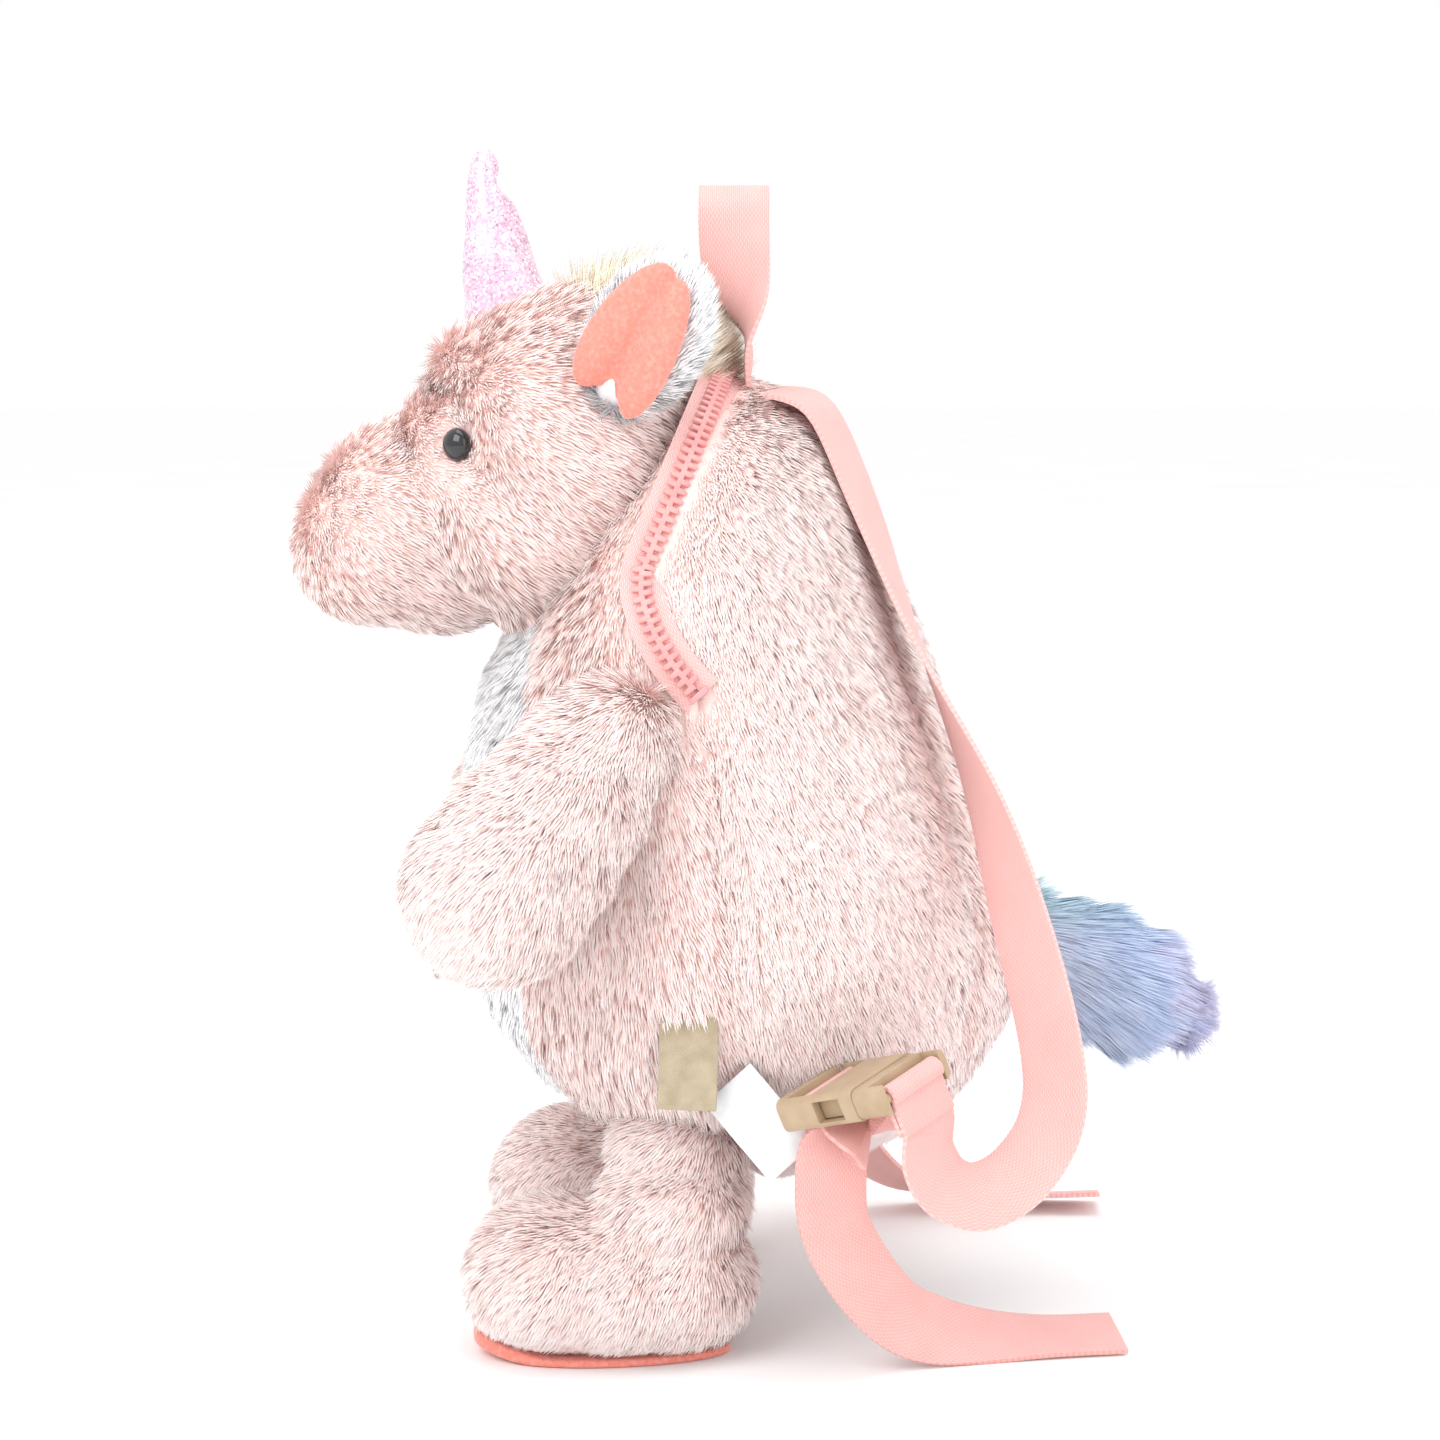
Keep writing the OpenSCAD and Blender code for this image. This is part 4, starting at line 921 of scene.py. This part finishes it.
def build_legs():
    """Each leg: a short stuffed ankle on a big soft foot, with a velour pad under it."""
    for side, s in SIDES.items():
        x = FOOT_X
        parts = [((x, -45, 22), (27, 25, 20.5)), ((x, -28, 22), (26, 27, 21)), ((x, -12, 21), (23, 20, 20)),
                 ((x, -13, 42), (20, 20, 16)), ((50, -12, 56), (18, 18, 15))]
        mesh = lumps(parts, 2.2, 7, mirrored=s < 0)
        co = points_of(mesh)
        floor = 2.4 + 5.5 * ease(-in_mm(co)[:, 1], 46, 74)  # the toe is lifted
        co[:, 2] = np.maximum(co[:, 2], floor * MM)
        move_points(mesh, co)
        ruffle(mesh, 1.6, 22, 8 + s)
        mm = in_mm(points_of(mesh))
        under = 1 - ease(mm[:, 2], 3.5, 7.0)
        pile(f"leg_{side}_pile", mesh, "pink_pile", f"leg_{side}", "pink_plush", (0, -0.45, -0.7), 1 - under,
             0.6 + 0.4 * ease(mm[:, 2], 5, 16), strands=42000, seed=60 + (s > 0))
        fibre(mesh, f"leg_stuffing_{side}", f"leg_{side}")
        ob = show(f"leg_{side}_cloth", mesh, "pink_backing", f"leg_{side}", [f"leg_cover_{side}"])
        bm = bmesh.new()
        bmesh.ops.create_cone(bm, cap_ends=True, segments=72, radius1=1, radius2=1, depth=1)
        for v in bm.verts:
            t = 0.5 - 0.5 * v.co.y
            wide = 15.5 + 4.5 * t
            y = SOLE_Y + v.co.y * SOLE_HALF
            toe = 5.5 * ease(-y, 46, 74) if v.co.z > 0 else 3.0 * ease(-y, 52, 74)
            v.co = at((x + v.co.x * wide) * s, y, 1.3 + v.co.z * 2.4 + toe)
        bmesh.ops.inset_region(bm, faces=[f for f in bm.faces if len(f.verts) > 4], thickness=1.5 * MM)
        bmesh.ops.recalc_face_normals(bm, faces=bm.faces)
        sole = settled(mesh_of(bm), ("SUBSURF", {"levels": 2, "render_levels": 2}))
        show(f"sole_{side}_pad", sole, "coral", f"leg_{side}", [f"sole_{side}"])


HAIR_REACH = 0.075  # how far from the root the tail's colour bands run, in metres


def tail_pile_material():
    """Long acrylic hair dyed in bands: pale blue along its length, teal on top and lilac at its tip."""
    made, tree, shader = surface("dyed_acrylic_tail_hair", Roughness=0.8, Sheen_Weight=0.3,
                                 Specular_IOR_Level=0.25)
    place = add(tree, "ShaderNodeTexCoord").outputs["Object"]
    split = add(tree, "ShaderNodeSeparateXYZ", {0: place})
    root = JOINTS["tail_lift"]["pos_m"]
    out = maths(tree, "SUBTRACT", split.outputs[1], root[1])
    share = maths(tree, "MULTIPLY", out, 1 / HAIR_REACH)
    wave = maths(tree, "MULTIPLY_ADD", speckle(tree, 9, 2.0, (1, 0.3, 1)), 0.5, share)
    wave = maths(tree, "SUBTRACT", wave, 0.25)
    bands = ramp(tree, wave, [(0.0, "#F0F5FD"), (0.3, "#D9E6FA"), (0.62, "#CADCF8"), (0.86, "#E4E1F8"),
                              (1.0, "#F8F5FC")])
    high = maths(tree, "SUBTRACT", split.outputs[2], root[2])
    teal = add(tree, "ShaderNodeMapRange", {0: high, 1: 0.002, 2: 0.02, 3: 0.0, 4: 0.75}).outputs[0]
    mixed = add(tree, "ShaderNodeMix", {0: teal, 6: bands, 7: linear("#A8E0DC")}, data_type="RGBA").outputs[2]
    shade = add(tree, "ShaderNodeAttribute", attribute_name="shade").outputs["Fac"]
    dim = ramp(tree, shade, [(0.0, "#DCDCE4"), (0.5, "#F4F4F7"), (1.0, "#FFFFFF")])
    both = add(tree, "ShaderNodeMix", {0: 1.0, 6: mixed, 7: dim}, data_type="RGBA",
               blend_type="MULTIPLY").outputs[2]
    finish(tree, shader, both)
    return made


def build_tail():
    """The tail: a cloth tube under long dyed hair."""
    FINISHES["tail_pile"] = tail_pile_material()
    lean = math.radians(24)
    way = Vector((0, math.cos(lean), -math.sin(lean)))
    root = Vector((0, 76.7, 111.5))
    parts = [(tuple(root + way * d), (r, r, r)) for d, r in ((6, 8), (16, 11), (28, 14), (40, 14.5), (50, 11))]
    mesh = lumps(parts, 2, 6)
    pile("tail_hair", mesh, "tail_pile", "tail", "tail_plush", tuple(way), strands=54000, seed=70, length=21,
         width=0.45, lift=0.3, lay=1.15, swirl=0.28, swirl_mm=14, stray=0.05, curl=0.05)
    ob = show("tail_cloth", mesh, "white_backing", "tail", ["tail_plush"])


def build_zip():
    """The zip: two woven tapes, moulded teeth that mesh, stops, slider and pull tab."""
    stations = zip_stations(2.0)
    for name, s in (("zip_tape_front", -1), ("zip_tape_back", 1)):
        route = []
        for p, along, out in stations:
            across = out.cross(along)
            route.append((p + across * (s * (TAPE_W / 2 + 0.4)) + out * 0.1, across))
        mesh, _ = ribbon_mesh(route, TAPE_W, TAPE_T, 1)
        show(f"{name}_weave", mesh, "tape", "bag", [name])
    for name, s in (("zip_teeth_front", -1), ("zip_teeth_back", 1)):
        bm = bmesh.new()
        for p, along, out in zip_stations(TOOTH_PITCH, 3.0 + (0 if s > 0 else TOOTH_PITCH / 2))[:-1]:
            across = out.cross(along) * s
            frame_m = Matrix((along, across, out)).transposed().to_4x4()
            made = bmesh.ops.create_cube(bm, size=1)["verts"]
            for v in made:
                head = v.co.y < 0  # the head meshes past the middle line, the foot grips the tape
                v.co = Vector((v.co.x * (2.0 if head else 1.3), 1.1 + v.co.y * 3.7, 0.95 + v.co.z * 2.1)) * MM
            bmesh.ops.transform(bm, matrix=Matrix.Translation(at(*p)) @ frame_m, verts=made)
        mesh = settled(mesh_of(bm), ("BEVEL", {"width": 0.35 * MM, "segments": 2, "limit_method": "NONE"}))
        show(f"{name}_moulded", mesh, "teeth", "bag", [name])
    for node, body, slot in (("zip_stops", "bag", "zip_teeth"), ("zip_slider", "slider", "zip_slider"),
                             ("zip_puller", "pull_tab", "zip_slider")):
        show(f"{node}_rounded", fine_copy(node, 0.3), "slider", body, [node])


BUCKLE_C = Vector((95, 40, 83))
BUCKLE = Matrix.Rotation(math.radians(22), 3, "X") @ Matrix.Rotation(math.radians(45), 3, "Z")
SLOT_L, BAR_L, MOUTH, SOCKET_L = WEB_T + 1.6, 3, 6, 29
PLUG_BAR = MOUTH + 5 + SLOT_L + BAR_L / 2
LADDER = 2 * SLOT_L + 4
SOCKET_BAR = MOUTH - SOCKET_L + BAR_L + LADDER / 2
OVER = 1.2 + WEB_T / 2 + 0.8
WRAP = BAR_L / 2 + WEB_T / 2 + 0.25
BAR_WAY = BUCKLE @ Vector((0, -1, 0))


def at_buckle(x, y, z):
    return BUCKLE_C + BUCKLE @ Vector((x, y, z))


def mirrored_route(route, s):
    return [(Vector((p[0] * s, p[1], p[2])), Vector((w[0] * s, w[1], w[2]))) for p, w in route]


def shoulder_route():
    """Left shoulder strap, from the neck, down the back and round below to the buckle's plug."""
    return [
        ((26, 15, 267), (1, -0.2, -0.1)), ((30, 28, 262), (1, -0.35, -0.2)),
        ((34, bag_y(34, 236) + 5, 236), (0.92, -0.4, 0)), ((40, bag_y(34, 201) + 7, 199), (0.97, -0.1, 0)),
        ((50, bag_y(34, 161) + 9, 159), (0.9, 0.35, 0)), ((66, 82, 123), (0.75, 0.65, 0)),
        ((82, 89, 92), (0.7, 0.7, 0)), ((91, 88.5, 74), (0.7, 0.65, -0.3)), ((97, 80, 61), (0.7, 0.4, -0.6)),
        ((101, 69, 55.5), (0.7, -0.05, -0.7)), ((104, 59.5, 59), (0.7, -0.6, -0.4)),
        ((105.5, 54.8, 67), BAR_WAY),
        (at_buckle(PLUG_BAR, 0, -WRAP - 10), BAR_WAY), (at_buckle(PLUG_BAR, 0, -WRAP - 6), BAR_WAY)]


LOOSE_ENDS = {
    1: [((84, 30, 60), (-0.3, 0.95, 0)), ((84, 31, 43), (-0.35, 0.93, 0.1)), ((80, 40, 26), (-0.4, 0.75, 0.5)),
        ((72, 52, 13), (-0.5, 0.35, 0.78)), ((62, 70, 6.5), (-0.8, 0, 0.5)), ((56, 90, 4.2), (-0.95, 0, 0.27)),
        ((52, 112, 3.8), (-0.96, 0, 0.25))],
    -1: [((84, 30, 60), (-0.5, 0.85, 0)), ((88, 32, 43), (-0.6, 0.8, 0.1)), ((94, 43, 24), (-0.7, 0.6, 0.4)),
         ((99, 58, 10.5), (-0.85, 0.3, 0.4)), ((102, 80, 5), (-0.97, 0.1, 0.2)),
         ((103, 104, 4.2), (-0.97, 0, 0.2)),
         ((102, 124, 5), (-0.97, 0, 0.2))],
}


def lower_route(s):
    """Lower strap: out of the bag, up through the socket's slots, over its bar and down to a loose end."""
    anchor = Vector((bag_x(44, 75) + 2.0, 44, 75))
    round_bar = [(OVER, -6), (OVER, 0), (OVER * 0.7, OVER * 0.9), (0, OVER * 1.2),
                 (-OVER * 0.7, OVER * 0.9), (-OVER, 0), (-OVER, -8)]
    return [(anchor, (-0.55, 0.83, 0)), (anchor + Vector((17, -1, -5)), (-0.6, 0.8, 0)),
            (at_buckle(SOCKET_BAR + 8, 0, -12), -BAR_WAY),
            *[(at_buckle(SOCKET_BAR + x, 0, z), -BAR_WAY) for x, z in round_bar],
            *LOOSE_ENDS[s]]


def web(name, route, body, node, steps=6):
    """A piece of webbing along a route. Returns it with its length in mm."""
    mesh, length = ribbon_mesh(route, web_w(), WEB_T, steps)
    return show(name, mesh, "webbing", body, [node]), length


def build_straps():
    """Both shoulder straps and both lower straps."""
    for side, s in SIDES.items():
        name = f"shoulder_strap_{side}"
        ob, length = web(f"{name}_web", mirrored_route(shoulder_route(), s), None, name)
        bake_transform(ob, "bag", f"plug_{side}", at(97 * s, 85, 52), at(122 * s, 65, 52))
        eye = [(at_buckle(PLUG_BAR + WRAP * math.sin(a), 0, -WRAP * math.cos(a)), BAR_WAY)
               for a in [math.radians(x) for x in range(25, 336, 31)]]
        ends = [(at_buckle(PLUG_BAR + away, 0, -WRAP - 9), BAR_WAY) for away in (0.9, -0.9)]
        eye = [ends[0], *eye, ends[1]]
        web(f"strap_eye_{side}_web", mirrored_route(eye, s), f"plug_{side}", f"strap_eye_{side}", 3)
        name = f"lower_strap_{side}"
        ob, length = web(f"{name}_web", mirrored_route(lower_route(s), s), "bag", name)


LOOP_Z = BAG_Z + BAG_H - 2  # where the carrying loop leaves the bag


def build_loop():
    """The carrying loop at the neck."""
    z = LOOP_Z
    half = [((13, 8, z), (1, 0, 0)), ((14, 8, z + 12.3), (1, 0, 0)), ((16, 5, z + 28), (0.5, 1, 0)),
            ((16, 4, z + 42), (0.1, 1, 0)), ((12, 4, z + 52), (0, 1, 0)), ((0, 4, z + 56), (0, 1, 0))]
    other = [((-p[0], p[1], p[2]), (-w[0], w[1], w[2])) for p, w in half[-2::-1]]
    ob, length = web("carry_loop_web", [*half, *other], "carry_loop", "haul_loop")


def build_buckles():
    """Side-release buckles: each socket with its windows, and each plug with two prongs."""
    for side in SIDES:
        for half, body in (("socket", "bag"), ("plug", f"plug_{side}")):
            node = f"buckle_{half}_{side}"
            show(f"{node}_moulded", fine_copy(node, 0.45, 3), "buckle", body, [node])


def build_labels():
    """A folded woven label and a longer satin label, both blank, sewn in the left side seam."""
    out = bag_x(-8, 86) + 6
    for name, shade, lift, low in (("woven_label_ribbon", "label", 0.7, 74),
                                   ("woven_label_back", "label_back", -0.6, 76)):
        woven = [((out - 4 + lift, -8.5, 100), (0, 1, 0.05)), ((out + lift, -8.5, 88), (0, 1, 0.05)),
                 ((out + 2.5 + lift, -9, low), (0, 1, 0.05))]
        mesh, length = ribbon_mesh(woven, 16, 1.0)
        ob = show(name, mesh, shade, "bag", ["woven_label"] if lift > 0 else [])
    way = (0, -0.62, -0.78)
    out = bag_x(6, 80) + 6
    satin = [((out - 2, 2, 80), way), ((out + 2, 11, 70), way), ((out + 5, 20, 60), way)]
    mesh, length = ribbon_mesh(satin, 17, 0.4)
    ob = show("care_label_ribbon", mesh, "satin", "bag", ["care_label"])


INSIDE = {"stuffing": "fibre", "lining": "lining", "washer_plastic": "washer", "tail_cloth": "white_backing"}


def finish_inside():
    """Procedural finishes for the inside nodes that keep their CAD meshes."""
    slots = {s["node"]: s["material_slot"] for s in frame["record"]["subparts"]}
    for name, ob in frame["nodes"].items():
        if slots[name] in INSIDE and not ob.hide_render:
            ob.data.materials.clear()
            ob.data.materials.append(FINISHES[INSIDE[slots[name]]])


CAMERA_FAR, CAMERA_HIGH = 950, 270.6  # from the middle plane and over the floor, in mm
CAMERA_PITCH, CAMERA_LENS = math.radians(5.95), 81.9  # it looks down by this angle


def build_stage():
    """A pale floor, soft lights, a white surround and the camera."""
    bm = bmesh.new()
    bmesh.ops.create_grid(bm, x_segments=1, y_segments=1, size=30)
    floor = placed("floor", mesh_of(bm, "floor"))
    made, tree, shader = surface("matt_white_board", Roughness=0.9, Specular_IOR_Level=0.1)
    finish(tree, shader, ramp(tree, speckle(tree, 300), [(0.3, "#FDFDFD"), (0.7, "#FFFFFF")]))
    floor.data.materials.append(made)
    world = bpy.data.worlds.new("white_surround")
    bpy.context.scene.world = world
    world.use_nodes = True
    world.node_tree.nodes["Background"].inputs[0].default_value = (1, 1, 1, 1)
    world.node_tree.nodes["Background"].inputs[1].default_value = 1.0
    for name, place, size, power in (("key", (1.5, -1.3, 1.7), 1.6, 26), ("fill", (1.6, 1.4, 0.9), 1.6, 9),
                                     ("top", (-0.2, 0.1, 2.2), 1.6, 16)):
        lamp = bpy.data.lights.new(name, "AREA")
        lamp.size, lamp.energy = size, power
        ob = placed(name, lamp)
        ob.location = place
        ob.rotation_euler = (Vector((0, 0, 0.15)) - Vector(place)).to_track_quat("-Z", "Y").to_euler()
    camera = placed("camera", bpy.data.cameras.new("camera"))
    camera.data.lens = CAMERA_LENS
    camera.location = at(CAMERA_FAR, 0, CAMERA_HIGH)
    aim = at(0, 0, CAMERA_HIGH - CAMERA_FAR * math.tan(CAMERA_PITCH))
    camera.rotation_euler = (aim - camera.location).to_track_quat("-Z", "Y").to_euler()
    camera.data.clip_start, camera.data.clip_end = 0.05, 50
    bpy.context.scene.camera = camera
    bpy.context.scene.view_settings.view_transform = "Standard"


# ---------------------------------------------------------------- add-on

FINISHES = {}


class UnicornSizes(bpy.types.PropertyGroup):
    """Sizes that a user may change before building."""

    strands_share: FloatProperty(
        name="Pile density", description="Share of the full number of strands",
        default=1.0, min=0.05, max=1.5, subtype="FACTOR")
    pile_length: FloatProperty(
        name="Pile length", description="Length of the short plush pile",
        default=0.0062, min=0.001, max=0.02, unit="LENGTH")
    eye_width: FloatProperty(
        name="Eye width", description="Diameter of each plastic eye",
        default=0.0094, min=0.004, max=0.015, unit="LENGTH")
    webbing_width: FloatProperty(
        name="Webbing width", description="Width of the straps and the carrying loop",
        default=0.020, min=0.01, max=0.0205, unit="LENGTH")
    pile_colour: FloatVectorProperty(
        name="Pile colour", description="Pink of the plush pile",
        default=linear("#FBD0C7")[:3], min=0, max=1, subtype="COLOR")
    velour_colour: FloatVectorProperty(
        name="Velour colour", description="Coral of the ears and soles",
        default=linear("#F19384")[:3], min=0, max=1, subtype="COLOR")
    webbing_colour: FloatVectorProperty(
        name="Webbing colour", description="Pink of the straps",
        default=linear("#F0AEA8")[:3], min=0, max=1, subtype="COLOR")
    buckle_colour: FloatVectorProperty(
        name="Buckle colour", description="Tan of the buckles",
        default=linear("#B9A080")[:3], min=0, max=1, subtype="COLOR")


def SIZES():
    return bpy.context.scene.unicorn_sizes


def piece_operator(key, label, build):
    """An operator class that runs one build function."""
    def execute(self, context):
        build()
        return {"FINISHED"}

    return type(f"UNICORN_OT_{key}", (bpy.types.Operator,), {
        "__doc__": build.__doc__, "bl_idname": f"unicorn.{key}", "bl_label": label, "execute": execute})


STEPS = (
    ("stage", "Stage", build_stage), ("bag", "Bag", build_bag), ("head", "Head", build_head),
    ("eyes", "Eyes", build_eyes), ("horn", "Horn", build_horn), ("ears", "Ears", build_ears),
    ("mane", "Mane", build_mane), ("arms", "Arms", build_arms), ("legs", "Legs and soles", build_legs),
    ("tail", "Tail", build_tail), ("zipper", "Zip", build_zip), ("straps", "Straps", build_straps),
    ("loop", "Carrying loop", build_loop), ("buckles", "Buckles", build_buckles),
    ("labels", "Labels", build_labels), ("inside", "Inside", finish_inside),
)
OPERATORS = [piece_operator(*step) for step in STEPS]


class UNICORN_PT_panel(bpy.types.Panel):
    """Lists the pieces in the order that they are built."""

    bl_label = "Plush unicorn"
    bl_idname = "UNICORN_PT_panel"
    bl_space_type = "VIEW_3D"
    bl_region_type = "UI"
    bl_category = "Unicorn"

    def draw(self, context):
        for key in UnicornSizes.__annotations__:
            self.layout.prop(context.scene.unicorn_sizes, key)
        for key, label, _ in STEPS:
            self.layout.operator(f"unicorn.{key}", text=label)


CLASSES = (UnicornSizes, *OPERATORS, UNICORN_PT_panel)


def register():
    for cls in CLASSES:
        bpy.utils.register_class(cls)
    bpy.types.Scene.unicorn_sizes = PointerProperty(type=UnicornSizes)


def unregister():
    del bpy.types.Scene.unicorn_sizes
    for cls in reversed(CLASSES):
        bpy.utils.unregister_class(cls)


def main():
    register()
    FINISHES.update(materials())
    for key, _, _ in STEPS:
        getattr(bpy.ops.unicorn, key)()


if __name__ == "__main__":
    main()
